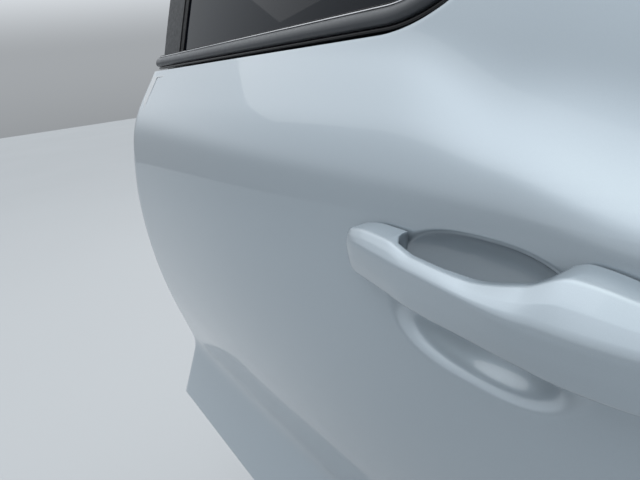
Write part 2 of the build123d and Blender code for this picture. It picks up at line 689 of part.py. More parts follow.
with BuildPart() as handle_cap:
    add(handle_form.part)
    cap_x = HANDLE_X + GRIP_LENGTH + CAP_GAP
    block(cap_x, cap_x + 100.0, PRISM_Y, OUT_Y + 60.0, 0.0, BELT_Z, Mode.INTERSECT)
    skin_body(-100.0, -GASKET_T - 2 * FIT, Mode.INTERSECT)
save(handle_cap, "handle_cap")

for name, x0, x1, low, high in GASKETS:
    with BuildPart() as gasket:
        with BuildSketch(side_plane(PRISM_Y)) as pad:
            with Locations((HANDLE_X + (x0 + x1) / 2, HANDLE_Z + (low + high) / 2)):
                RectangleRounded(x1 - x0, high - low, 16.0)
        side_prism(pad.sketch, PRISM_Y, OUT_Y + 60.0)
        skin_body(-GASKET_T - FIT, -FIT, Mode.INTERSECT)
        handle_holes(OUT_Y + 60.0, Mode.SUBTRACT)
    save(gasket, name)

cheek_x = (LUG_X[0] - 8.0, LUG_X[1] + 8.0)
with BuildPart() as handle_bracket:
    for side in (-1, 1):
        z = LUG_Z + side * (LUG_H / 2 + 2.0 + FIT)
        block(*cheek_x, OUT_Y + 6.0, GRIP_PIVOT_Y + LUG_R, z - 2.0, z + 2.0)
    block(
        *cheek_x,
        GRIP_PIVOT_Y + LUG_R + 3.0,
        GRIP_PIVOT_Y + LUG_R + 6.0,
        LUG_Z - LUG_H / 2 - 4.0 - FIT,
        LUG_Z + LUG_H / 2 + 4.0 + FIT,
    )
    for side in (-1, 1):
        z = LUG_Z + side * (LUG_H / 2 + 2.0 + FIT)
        block(*cheek_x, GRIP_PIVOT_Y + LUG_R, GRIP_PIVOT_Y + LUG_R + 6.0, z - 2.0, z + 2.0)
    with Locations((GRIP_PIVOT_X, GRIP_PIVOT_Y, LUG_Z)):
        Cylinder(LUG_PIN_R, LUG_H + 4.0)
    skin_body(SKIN_T + FIT, 200.0, Mode.INTERSECT)
save(handle_bracket, "handle_bracket")

# Mouldings and seals at the waist
moulding_band = window_band(EDGE_X + 3.0, REAR_X - 3.0, MOULDING_LOW, MOULDING_TOP)
waist_moulding = pane(moulding_band, -MOULDING_T, -FIT)
save(waist_moulding, "waist_moulding")

inner_belt_seal = pane(
    window_band(EDGE_X + SASH_W + 7.0, DIVIDER_X - FIT, 2.0, 10.0), GLASS_T + FIT, FRAME_BACK - FIT
)
save(inner_belt_seal, "inner_belt_seal")

division_bar = pane(bar_outline(), -COVER_T, -FIT)
with division_bar:
    add(pane(bar_outline(GLASS_BITE + FIT, FRAME_LIP + FIT), -COVER_T, FRAME_BACK).part)
save(division_bar, "division_bar")

# Lock at the rear edge
with BuildPart() as latch:
    block(LATCH_X - LATCH_T, LATCH_X, LATCH_Y[0], LATCH_Y[1], LATCH_Z - LATCH_H / 2, LATCH_Z + LATCH_H / 2)
    fillet(latch.edges().filter_by(Axis.X), 6.0)
    with Locations((LATCH_X - 8.0, FORK_Y, FORK_Z)):
        with Locations(Rotation(0, 90, 0)):
            Cylinder(FORK_R + 1.0, 7.0, mode=Mode.SUBTRACT)
    mouth = (LATCH_Z - MOUTH_H / 2, LATCH_Z + MOUTH_H / 2)
    block(LATCH_X - 20.0, LATCH_X + 1.0, FORK_Y - 8.0, LATCH_Y[1] + 1.0, *mouth, Mode.SUBTRACT)
save(latch, "latch")

with BuildPart() as latch_fork:
    with BuildSketch(Plane.YZ.offset(LATCH_X - 8.0 - 2.5)) as fork:
        with Locations((FORK_Y, FORK_Z)):
            Circle(FORK_R)
        with Locations((FORK_Y + 14.0, LATCH_Z)):
            Rectangle(34.0, 12.0, mode=Mode.SUBTRACT)
    extrude(fork.sketch, amount=5.0)
save(latch_fork, "latch_fork")

# Interior trim
trim_outline = skin_outline(PRISM_Y, TRIM_INSET, TRIM_INSET, TRIM_INSET)
TRIM_Y = WEB_Y + FIT
with BuildPart() as trim_panel:
    side_prism(trim_outline, PRISM_Y, TRIM_Y + TRIM_T)
    block(0.0, FAR, TRIM_Y, TRIM_Y + TRIM_T, -FAR, TRIM_SPLIT_Z, Mode.INTERSECT)
    fillet(trim_panel.edges().group_by(Axis.Y)[-1], TRIM_EDGE_R)
    core = skin_outline(PRISM_Y, TRIM_INSET + TRIM_WALL, TRIM_INSET + TRIM_WALL, TRIM_INSET)
    with BuildSketch(side_plane(TRIM_Y - 1.0)) as hollow:
        add(core)
        with Locations((EDGE_X, TRIM_SPLIT_Z - TRIM_WALL - FAR / 2)):
            Rectangle(2 * FAR, FAR, mode=Mode.INTERSECT)
    extrude(hollow.sketch, amount=-(TRIM_T - TRIM_WALL + 1.0), mode=Mode.SUBTRACT)
save(trim_panel, "trim_panel")

with BuildPart() as trim_upper:
    with BuildSketch(side_plane(PRISM_Y)) as upper_outline:
        add(skin_outline(PRISM_Y, TRIM_INSET, TRIM_INSET, -TRIM_RISE))
        with Locations((EDGE_X, TRIM_SPLIT_Z + FIT + FAR / 2)):
            Rectangle(2 * FAR, FAR, mode=Mode.INTERSECT)
    side_prism(upper_outline.sketch, PRISM_Y, WEB_Y + UPPER_T)
    block(0.0, FAR, TRIM_Y, FAR, 0.0, FAR, Mode.INTERSECT)
    with BuildSketch(side_plane(TRIM_Y - 1.0)) as upper_hollow:
        add(skin_outline(PRISM_Y, TRIM_INSET + TRIM_WALL, TRIM_INSET + TRIM_WALL, PANEL_TOP + 4.0))
        with Locations((EDGE_X, TRIM_SPLIT_Z + FIT + TRIM_WALL + FAR / 2)):
            Rectangle(2 * FAR, FAR, mode=Mode.INTERSECT)
    extrude(upper_hollow.sketch, amount=-(UPPER_T - TRIM_WALL), mode=Mode.SUBTRACT)
    glass_slab(-300.0, FRAME_BACK + FIT, Mode.SUBTRACT)
    rail_band = window_band(EDGE_X + TRIM_INSET, REAR_X - TRIM_INSET, FOOT, TRIM_RISE)
    add(pane(rail_band, FRAME_BACK + FIT, RAIL_BACK).part)
save(trim_upper, "trim_upper")

# Armrest with its pull cup, on the lower trim
ARM_Y = TRIM_Y + TRIM_T + FIT
with BuildPart() as armrest:
    with BuildSketch(Plane.YZ.offset(ARMREST_X[0])) as arm_section:
        with BuildLine():
            FilletPolyline(
                (ARM_Y, ARMREST_Z - 84.0),
                (ARM_Y + 46.0, ARMREST_Z - 52.0),
                (ARM_Y + ARMREST_W, ARMREST_Z),
                (ARM_Y, ARMREST_Z),
                radius=[2, 26, 12, 2],
                close=True,
            )
        make_face()
    extrude(arm_section.sketch, amount=ARMREST_X[1] - ARMREST_X[0])
    with BuildSketch(Plane.XY.offset(ARMREST_Z - 120.0)) as arm_plan:
        with BuildLine():
            FilletPolyline(
                (ARMREST_X[0], ARM_Y - 1.0),
                (ARMREST_X[0] + 34.0, ARM_Y + ARMREST_W),
                (ARMREST_X[1] - 70.0, ARM_Y + ARMREST_W),
                (ARMREST_X[1], ARM_Y - 1.0),
                radius=[2, 30, 60, 2],
                close=True,
            )
        make_face()
    extrude(arm_plan.sketch, amount=160.0, mode=Mode.INTERSECT)
    with Locations(((PULL_X[0] + PULL_X[1]) / 2, ARM_Y + 0.46 * ARMREST_W, ARMREST_Z - PULL_DEPTH / 2 + 0.5)):
        Box(PULL_X[1] - PULL_X[0], PULL_W, PULL_DEPTH + 1.0, mode=Mode.SUBTRACT)
save(armrest, "armrest")

with BuildPart() as switch_plate:
    x0, x1 = SWITCH_X
    block(x0, x1, ARM_Y + 14.0, ARM_Y + ARMREST_W - 12.0, ARMREST_Z + FIT, ARMREST_Z + FIT + 3.0)
    fillet(switch_plate.edges().filter_by(Axis.Z), 8.0)
    block(x0 + 40.0, x0 + 68.0, ARM_Y + 22.0, ARM_Y + 38.0, ARMREST_Z, ARMREST_Z + 10.0, Mode.SUBTRACT)
save(switch_plate, "switch_plate")

with BuildPart() as window_switch:
    block(x0 + 41.0, x0 + 67.0, ARM_Y + 23.0, ARM_Y + 37.0, ARMREST_Z + FIT, ARMREST_Z + 7.0)
    fillet(window_switch.edges().group_by(Axis.Z)[-1], 2.0)
save(window_switch, "window_switch")

# Inner release in its bezel
UPPER_Y = WEB_Y + UPPER_T + FIT
with BuildPart() as release_bezel:
    block(RELEASE_X[0], RELEASE_X[1], UPPER_Y, UPPER_Y + 8.0, RELEASE_Z - 30.0, RELEASE_Z + 30.0)
    fillet(release_bezel.edges().filter_by(Axis.Y), 18.0)
    dish_x = (RELEASE_X[0] + 8.0, RELEASE_X[1] - 8.0)
    block(*dish_x, UPPER_Y + 2.0, UPPER_Y + 9.0, RELEASE_Z - 22.0, RELEASE_Z + 22.0, Mode.SUBTRACT)
    for side in (-1, 1):
        z = RELEASE_Z + side * 20.0
        block(RELEASE_X[0] + 16.0, RELEASE_X[0] + 30.0, UPPER_Y + 2.0, UPPER_Y + 13.0, z - 2.0, z + 2.0)
    with Locations((RELEASE_PIN_X, UPPER_Y + 8.0, RELEASE_Z)):
        Cylinder(RELEASE_PIN_R, 42.0)
save(release_bezel, "release_bezel")

with BuildPart() as inner_release:
    with Locations((RELEASE_PIN_X, UPPER_Y + 8.0, RELEASE_Z)):
        Cylinder(5.0, 34.0)
    paddle_x = (RELEASE_PIN_X, RELEASE_X[1] - 16.0)
    block(*paddle_x, UPPER_Y + 6.0, UPPER_Y + 13.0, RELEASE_Z - 15.0, RELEASE_Z + 15.0)
    fillet(inner_release.edges().group_by(Axis.X)[-1].filter_by(Axis.Y), 6.0)
    with Locations((RELEASE_PIN_X, UPPER_Y + 8.0, RELEASE_Z)):
        Cylinder(RELEASE_PIN_R + PIN_FIT, 60.0, mode=Mode.SUBTRACT)
save(inner_release, "inner_release")

# Loudspeaker grille and the pocket in the lower trim
with BuildPart() as speaker_grille:
    with Locations(Location((SPEAKER_X, ARM_Y, SPEAKER_Z), (-90, 0, 0))):
        Cylinder(SPEAKER_R, 5.0, align=(Align.CENTER, Align.CENTER, Align.MIN))
    fillet(speaker_grille.edges().group_by(Axis.Y)[-1], 3.0)
save(speaker_grille, "speaker_grille")

with BuildPart() as map_pocket:
    x0, x1 = POCKET_X
    z0, z1 = POCKET_Z
    block(x0, x1, ARM_Y, ARM_Y + POCKET_W, z0, z1)
    fillet(map_pocket.edges().group_by(Axis.Y)[-1], 6.0)
    block(x0 + 3.0, x1 - 3.0, ARM_Y + 3.0, ARM_Y + POCKET_W - 3.0, z0 + 3.0, z1 + 1.0, Mode.SUBTRACT)
save(map_pocket, "map_pocket")

# Weatherstrip around the inner panel and the rubber stops
with BuildPart() as weatherstrip:
    with BuildSketch(side_plane(WEB_Y + FIT)) as strip:
        add(skin_outline(PRISM_Y, WEB_INSET + 2.0, WEB_INSET + 2.0, WEB_INSET + 2.0))
        add(skin_outline(PRISM_Y, WEB_INSET + 14.0, WEB_INSET + 14.0, WEB_INSET + 14.0), mode=Mode.SUBTRACT)
        with Locations((EDGE_X, BELT_Z - 60.0 - FAR / 2)):
            Rectangle(2 * FAR, FAR, mode=Mode.INTERSECT)
        with Locations((REAR_X, LATCH_Z + 0.5 * STRIP_GAP)):
            Rectangle(200.0, 2 * STRIP_GAP, mode=Mode.SUBTRACT)
    extrude(strip.sketch, amount=-12.0)
save(weatherstrip, "weatherstrip")
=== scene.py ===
import bpy
import numpy as np
from math import cos, radians, sin, sqrt, tan
from mathutils import Matrix, Vector


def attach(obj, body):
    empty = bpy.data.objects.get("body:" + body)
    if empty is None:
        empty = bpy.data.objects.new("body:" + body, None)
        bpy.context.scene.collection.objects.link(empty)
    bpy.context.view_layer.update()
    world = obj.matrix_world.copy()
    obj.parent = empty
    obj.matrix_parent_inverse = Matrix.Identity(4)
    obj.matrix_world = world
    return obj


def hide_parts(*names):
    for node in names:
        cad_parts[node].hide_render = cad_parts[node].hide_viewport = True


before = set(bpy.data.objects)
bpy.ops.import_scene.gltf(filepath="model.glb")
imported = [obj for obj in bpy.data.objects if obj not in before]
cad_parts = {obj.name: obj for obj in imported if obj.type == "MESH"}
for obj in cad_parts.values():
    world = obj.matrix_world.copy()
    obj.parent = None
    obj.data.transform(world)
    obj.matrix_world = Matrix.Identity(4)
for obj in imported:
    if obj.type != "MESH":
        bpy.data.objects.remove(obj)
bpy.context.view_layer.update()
MM = 0.001

# Sizes shared with the solids, in millimetres
EDGE_X, DOOR_LENGTH = 22.0, 985.0
REAR_X = EDGE_X + DOOR_LENGTH
BELT_Z, SILL_Z = 447.0, -224.0
KICK_X, KICK_RISE, KICK_R, KICK_HALF = EDGE_X + 650.0, 200.0, 170.0, 15.4
REAR_DROP = 187.0
WHEEL_X, WHEEL_Z, WHEEL_R = EDGE_X + 1130.0, -210.0, 430.0
ARCH_X = WHEEL_X - WHEEL_R * cos(radians(45))
ARCH_Z = WHEEL_Z + WHEEL_R * sin(radians(45))
OUT_Y, WIDEST_Z = -80.0, 190.0
WEB_Y = OUT_Y + 146.0
TRIM_Y = WEB_Y + 0.3
TRIM_FACE_Y = TRIM_Y + 24.0
LATCH_Z, LATCH_FACE_X = BELT_Z - 97.0, REAR_X - 34.0 - 1.9
ROOF_Z, SASH_X, SASH_EDGE_X = BELT_Z + 408.0, EDGE_X + 96.0, EDGE_X + 81.2
SPEAKER_X, SPEAKER_RIM_R = 212.0, 79.0
FLOOR_Z = -0.53  # metres
LOWER_R, LOWER_TURN, LOWER_RUN, SCALLOP_R, FLARE_TURN = 902.0, 13.8, 72.0, 60.0, 37.8
STATIONS = np.array((
    # x, set_in, side_r, side_turn, shoulder_r, shoulder_turn, slope, hollow_r, hollow_turn
    (-12.0, 1.5, 620.0, 13.2, 175.0, 22.8, 58.0, 120.0, 16.0),
    (330.0, 0.0, 620.0, 13.2, 175.0, 22.8, 58.0, 120.0, 16.0),
    (640.0, 3.0, 640.0, 12.8, 140.0, 24.2, 48.0, 120.0, 16.0),
    (760.0, 3.0, 720.0, 11.6, 60.0, 32.4, 15.0, 140.0, 23.0),
    (850.0, 1.5, 850.0, 9.3, 28.0, 40.7, 8.0, 140.0, 28.0),
    (1000.0, -5.0, 900.0, 8.6, 22.0, 41.4, 6.0, 150.0, 28.0),
))
GLASS_R, GLASS_Y, GLASS_REF_Z, GLASS_LEAN = 3000.0, OUT_Y + 111.0, BELT_Z + 26.0, 18.2
HANDLE_X, HANDLE_Z = EDGE_X + 647.0, BELT_Z - 161.0
CUP_X, CUP_Z, CUP_HX, CUP_HZ, CUP_POWER = HANDLE_X + 117.0, HANDLE_Z - 15.0, 76.0, 50.5, 2.6
LUG_Z = HANDLE_Z + 4.0
GRIP_LENGTH, CAP_GAP, FOOT_LIFT = 233.0, 0.8, 2.4
GRIP_SECTIONS = np.array((
    # x, low, high, ridge, out, low_out, top_out, corner radius
    (-5.0, -3.0, 11.0, 4.0, -4.0, -4.5, -5.0, 1.5),
    (4.0, -11.0, 18.5, 9.5, 4.5, 2.5, 0.0, 3.0),
    (16.0, -14.0, 23.0, 13.0, 12.5, 8.5, 6.0, 5.0),
    (34.0, -15.0, 25.5, 15.0, 16.5, 11.5, 8.5, 5.5),
    (58.0, -15.0, 25.0, 15.0, 20.0, 16.5, 11.0, 5.5),
    (86.0, -15.0, 21.0, 15.0, 23.5, 22.5, 16.0, 5.5),
    (130.0, -15.0, 20.5, 15.0, 29.5, 26.0, 20.0, 5.5),
    (166.0, -15.5, 27.5, 15.0, 33.5, 27.5, 18.0, 5.5),
    (188.0, -16.0, 36.5, 15.5, 32.5, 28.0, 13.0, 5.5),
    (222.0, -16.0, 32.0, 15.0, 26.5, 24.0, 9.5, 5.5),
    (246.0, -14.0, 25.0, 12.0, 14.0, 11.5, 2.0, 4.0),
    (260.0, -9.0, 17.0, 8.0, -1.0, -2.0, -3.0, 2.0),
))
FINGER_LINE = ((58.0, -12.0), (58.6, -5.0), (60.5, 0.0), (67.0, 7.0), (85.0, 11.0), (112.0, 13.8),
               (145.0, 13.6), (166.0, 12.0), (172.5, 7.5), (176.5, 1.0), (178.0, -12.0))


# Helpers
def pchip(xs, ys, x):
    """Monotone cubic through the table's rows, so that the skin's sections blend without a ripple."""
    xs, ys, x = np.asarray(xs, float), np.asarray(ys, float), np.asarray(x, float)
    h = np.diff(xs)
    d = np.diff(ys) / h
    m = np.zeros(len(xs))
    for i in range(1, len(xs) - 1):
        if d[i - 1] * d[i] > 0:
            w1, w2 = 2 * h[i] + h[i - 1], h[i] + 2 * h[i - 1]
            m[i] = (w1 + w2) / (w1 / d[i - 1] + w2 / d[i])
    i = np.clip(np.searchsorted(xs, x) - 1, 0, len(h) - 1)
    t = np.clip((x - xs[i]) / h[i], 0, 1)
    return ((2 * t**3 - 3 * t**2 + 1) * ys[i] + (t**3 - 2 * t**2 + t) * h[i] * m[i]
            + (3 * t**2 - 2 * t**3) * ys[i + 1] + (t**3 - t**2) * h[i] * m[i + 1])


def arc_points(start, angle, parts):
    """Points along a chain of (length, curvature) parts, from a point and an angle off the vertical."""
    y, z = start
    out = [(y, z)]
    for length, bend in parts:
        n = max(2, int(length / 4))
        for _ in range(n):
            step = length / n
            angle += bend * step / 2
            y, z = y + sin(angle) * step, z + cos(angle) * step
            angle += bend * step / 2
            out.append((y, z))
    return out


Z_FINE = np.arange(-250.0, 690.0, 1.0)


def section(x):
    """The skin's depth at every millimetre of height, x from the front edge."""
    s = [float(pchip(STATIONS[:, 0], STATIONS[:, k], x)) for k in range(1, 9)]
    set_in, side_r, side_t, sh_r, sh_t, slope, ho_r, ho_t = s
    start = (OUT_Y + set_in, WIDEST_Z)
    up = arc_points(start, 0.0, ((radians(side_t) * side_r, 1 / side_r), (radians(sh_t) * sh_r, 1 / sh_r),
                                 (slope, 0.0), (radians(ho_t) * ho_r, -1 / ho_r), (420.0, 0.0)))
    down = arc_points(start, 0.0, ((radians(LOWER_TURN) * LOWER_R, 1 / LOWER_R), (LOWER_RUN, 0.0),
                                   (radians(FLARE_TURN) * SCALLOP_R, -1 / SCALLOP_R), (300.0, 0.0)))
    down = [(y, 2 * WIDEST_Z - z) for y, z in down]
    pts = np.array(down[::-1] + up[1:])
    y = np.interp(Z_FINE, pts[:, 1], pts[:, 0])
    kernel = np.exp(-0.5 * (np.arange(-12, 13) / 4.0) ** 2)
    kernel /= kernel.sum()
    return np.convolve(np.pad(y, 12, mode="edge"), kernel, mode="valid")


SECTION_XS = np.linspace(-12.0, 1000.0, 254)
SECTION_YS = np.array([section(x) for x in SECTION_XS])


def skin_y(x, z):
    """Outer face of the skin at a place in the side view, without the cup."""
    x, z = np.broadcast_arrays(np.asarray(x, float), np.asarray(z, float))
    u = np.clip((x - EDGE_X - SECTION_XS[0]) / (SECTION_XS[1] - SECTION_XS[0]), 0, len(SECTION_XS) - 1.001)
    v = np.clip(z - Z_FINE[0], 0, len(Z_FINE) - 1.001)
    i, j = u.astype(int), v.astype(int)
    a, b = u - i, v - j
    return ((1 - a) * (1 - b) * SECTION_YS[i, j] + a * (1 - b) * SECTION_YS[i + 1, j]
            + (1 - a) * b * SECTION_YS[i, j + 1] + a * b * SECTION_YS[i + 1, j + 1])


def cup_depth(x, z):
    """Depth of the handle's cup behind the door's widest line."""
    across, up = np.abs((x - CUP_X) / CUP_HX), np.abs((z - CUP_Z) / CUP_HZ)
    r = (across**CUP_POWER + up**CUP_POWER) ** (1 / CUP_POWER)
    depth = pchip((0.0, 0.3, 0.5, 0.7, 0.85, 1.0, 1.1, 1.3), (39.5, 38.3, 35.3, 28.5, 20.0, 7.0, -4.0, -34.0),
                  np.minimum(r, 1.3))
    return OUT_Y + depth


def body_y(x, z):
    """Outer face of the skin with the cup and its rounded rim."""
    a, b = skin_y(x, z), cup_depth(x, z)
    k = 6.5 - 3.0 * np.tanh((np.asarray(z) - CUP_Z) / 20)
    h = np.clip(0.5 + (b - a) / (2 * k), 0, 1)
    return a * (1 - h) + b * h + k * h * (1 - h)


def glass_y(z, behind=0.0):
    lean = radians(GLASS_LEAN)
    cy, cz = GLASS_Y + GLASS_R * cos(lean), GLASS_REF_Z - GLASS_R * sin(lean)
    return cy - np.sqrt((GLASS_R - behind) ** 2 - (np.asarray(z) - cz) ** 2)


def z_top(x, raised=0.0):
    """Waist line, level and then turning up towards the rear pillar."""
    x = np.asarray(x, float)
    slope = KICK_RISE / (REAR_X - KICK_X)
    turn = 2 * radians(KICK_HALF)
    r = KICK_R - raised
    kx = KICK_X - raised * tan(radians(KICK_HALF))
    t0 = kx - r * tan(turn / 2)
    x1 = t0 + r * sin(turn)
    base = BELT_Z + raised
    arc = base + r - np.sqrt(np.maximum(r**2 - (x - t0) ** 2, 0))
    line = base + r - r * cos(turn) + (x - x1) * slope
    return np.where(x < t0, base, np.where(x < x1, arc, line))


def z_low(x):
    """Lower edge: sill, then round the wheel opening and up to the rear edge."""
    x = np.asarray(x, float)
    z = np.full(x.shape, SILL_Z)
    wheel = WHEEL_Z + np.sqrt(np.maximum(WHEEL_R**2 - (x - WHEEL_X) ** 2, 0))
    z = np.where(x > WHEEL_X - WHEEL_R, np.maximum(wheel, SILL_Z), z)
    corner = BELT_Z - REAR_DROP
    slope = (corner - ARCH_Z) / (REAR_X - ARCH_X)
    line = ARCH_Z + (x - ARCH_X) * slope
    z = np.where(x > ARCH_X, line, z)
    lean = np.arctan(slope)
    r = 70.0
    t = r * tan((np.pi / 2 - lean) / 2)
    cx, cz = REAR_X - r, corner + t
    fillet = cz - np.sqrt(np.maximum(r**2 - (x - cx) ** 2, 0))
    return np.where(x > REAR_X - t * cos(lean), np.maximum(fillet, line), z)


def mesh_object(name, verts, faces, mats=(), body="door"):
    """A smooth-shaded mesh object from points in millimetres, riding on a body."""
    mesh = bpy.data.meshes.new(name)
    points = (np.asarray(verts, float) * MM).tolist()
    mesh.from_pydata([tuple(v) for v in points], [], [tuple(f) for f in faces])
    mesh.validate()
    obj = bpy.data.objects.new(name, mesh)
    bpy.context.scene.collection.objects.link(obj)
    for m in mats:
        mesh.materials.append(m)
    mesh.polygons.foreach_set("use_smooth", [True] * len(mesh.polygons))
    mesh.update()
    if body:
        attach(obj, body)
    return obj


def grid_faces(rows, cols, closed=False, flip=False):
    faces = []
    for i in range(rows - 1):
        for j in range(cols if closed else cols - 1):
            k = (j + 1) % cols
            f = (i * cols + j, i * cols + k, (i + 1) * cols + k, (i + 1) * cols + j)
            faces.append(f[::-1] if flip else f)
    return faces


def sweep(name, path, profile, mats, body="door", closed=False, normal=(0, -1, 0)):
    """A section carried along a path; its points are (along the side, along the normal)."""
    path = np.asarray(path, float)
    n = len(path)
    tangent = np.roll(path, -1, 0) - np.roll(path, 1, 0) if closed else np.gradient(path, axis=0)
    tangent /= np.linalg.norm(tangent, axis=1)[:, None]
    up = np.broadcast_to(np.asarray(normal, float), path.shape)
    side = np.cross(tangent, up)
    side /= np.linalg.norm(side, axis=1)[:, None]
    up = np.cross(side, tangent)
    profile = np.asarray(profile, float)
    m = len(profile)
    verts = (path[:, None, :] + side[:, None, :] * profile[None, :, 0, None]
             + up[:, None, :] * profile[None, :, 1, None]).reshape(-1, 3)
    faces = grid_faces(n, m, closed=True)
    if closed:
        faces += [((n - 1) * m + j, (n - 1) * m + (j + 1) % m, (j + 1) % m, j) for j in range(m)]
    else:
        faces += [tuple(range(m))[::-1], tuple(range((n - 1) * m, n * m))]
    return mesh_object(name, verts, faces, mats, body=body)


def oval(half_w, half_h, n=14, power=2.0):
    t = np.linspace(0, 2 * np.pi, n, endpoint=False)
    c, s = np.cos(t), np.sin(t)
    wide = half_w * np.sign(c) * np.abs(c) ** (2 / power)
    high = half_h * np.sign(s) * np.abs(s) ** (2 / power)
    return np.stack((wide, high), 1)


# Materials
class Paint:
    """A procedural material: the principled shader with textures in the object's own millimetres."""

    def __init__(self, name, color, rough, **sockets):
        self.mat = bpy.data.materials.new(name)
        self.mat.use_nodes = True
        self.tree = self.mat.node_tree
        self.shader = self.tree.nodes["Principled BSDF"]
        self.coord = self.tree.nodes.new("ShaderNodeTexCoord")
        self.shader.inputs["Base Color"].default_value = (*color, 1)
        self.shader.inputs["Roughness"].default_value = rough
        for key, value in sockets.items():
            self.shader.inputs[key.replace("_", " ")].default_value = value
        self.color = color
        self.rough = rough
        self.normal = None

    def node(self, kind, **settings):
        n = self.tree.nodes.new(kind)
        for key, value in settings.items():
            setattr(n, key, value)
        return n

    def link(self, a, b):
        self.tree.links.new(a, b)

    def noise(self, size_mm, detail=3.0, stretch=(1, 1, 1), roughness=0.55):
        scale = self.node("ShaderNodeMapping")
        scale.inputs["Scale"].default_value = tuple(1000.0 / size_mm * k for k in stretch)
        self.link(self.coord.outputs["Object"], scale.inputs["Vector"])
        n = self.node("ShaderNodeTexNoise")
        n.inputs["Scale"].default_value = 1.0
        n.inputs["Detail"].default_value = detail
        n.inputs["Roughness"].default_value = roughness
        self.link(scale.outputs["Vector"], n.inputs["Vector"])
        return n.outputs["Fac"]

    def cells(self, size_mm, stretch=(1, 1, 1), feature="F1", out="Distance", random=1.0):
        scale = self.node("ShaderNodeMapping")
        scale.inputs["Scale"].default_value = tuple(1000.0 / size_mm * k for k in stretch)
        self.link(self.coord.outputs["Object"], scale.inputs["Vector"])
        n = self.node("ShaderNodeTexVoronoi", feature=feature)
        n.inputs["Scale"].default_value = 1.0
        n.inputs["Randomness"].default_value = random
        self.link(scale.outputs["Vector"], n.inputs["Vector"])
        return n.outputs[out]

    def ramp(self, source, stops):
        r = self.node("ShaderNodeValToRGB")
        for k, (place, value) in enumerate(stops):
            e = r.color_ramp.elements[k] if k < 2 else r.color_ramp.elements.new(place)
            e.position = place
            e.color = (*value, 1) if len(value) == 3 else value
        self.link(source, r.inputs["Fac"])
        return r.outputs["Color"]

    def vary(self, source, amount=0.12, tint=(1, 1, 1)):
        """Base colour that drifts by amount with the source."""
        lo = tuple(c * (1 - amount) * t for c, t in zip(self.color, tint))
        hi = tuple(min(1, c * (1 + amount)) for c in self.color)
        self.link(self.ramp(source, ((0.3, lo), (0.7, hi))), self.shader.inputs["Base Color"])
        return self

    def rough_by(self, source, low, high):
        r = self.node("ShaderNodeMapRange")
        r.inputs["From Min"].default_value = 0.3
        r.inputs["From Max"].default_value = 0.7
        r.inputs["To Min"].default_value = low
        r.inputs["To Max"].default_value = high
        self.link(source, r.inputs["Value"])
        self.link(r.outputs["Result"], self.shader.inputs["Roughness"])
        return self

    def bump(self, source, depth_mm, strength=1.0, socket="Normal"):
        b = self.node("ShaderNodeBump")
        b.inputs["Strength"].default_value = strength
        b.inputs["Distance"].default_value = depth_mm * MM
        self.link(source, b.inputs["Height"])
        if self.normal is not None:
            self.link(self.normal, b.inputs["Normal"])
        self.normal = b.outputs["Normal"]
        self.link(self.normal, self.shader.inputs[socket])
        return self


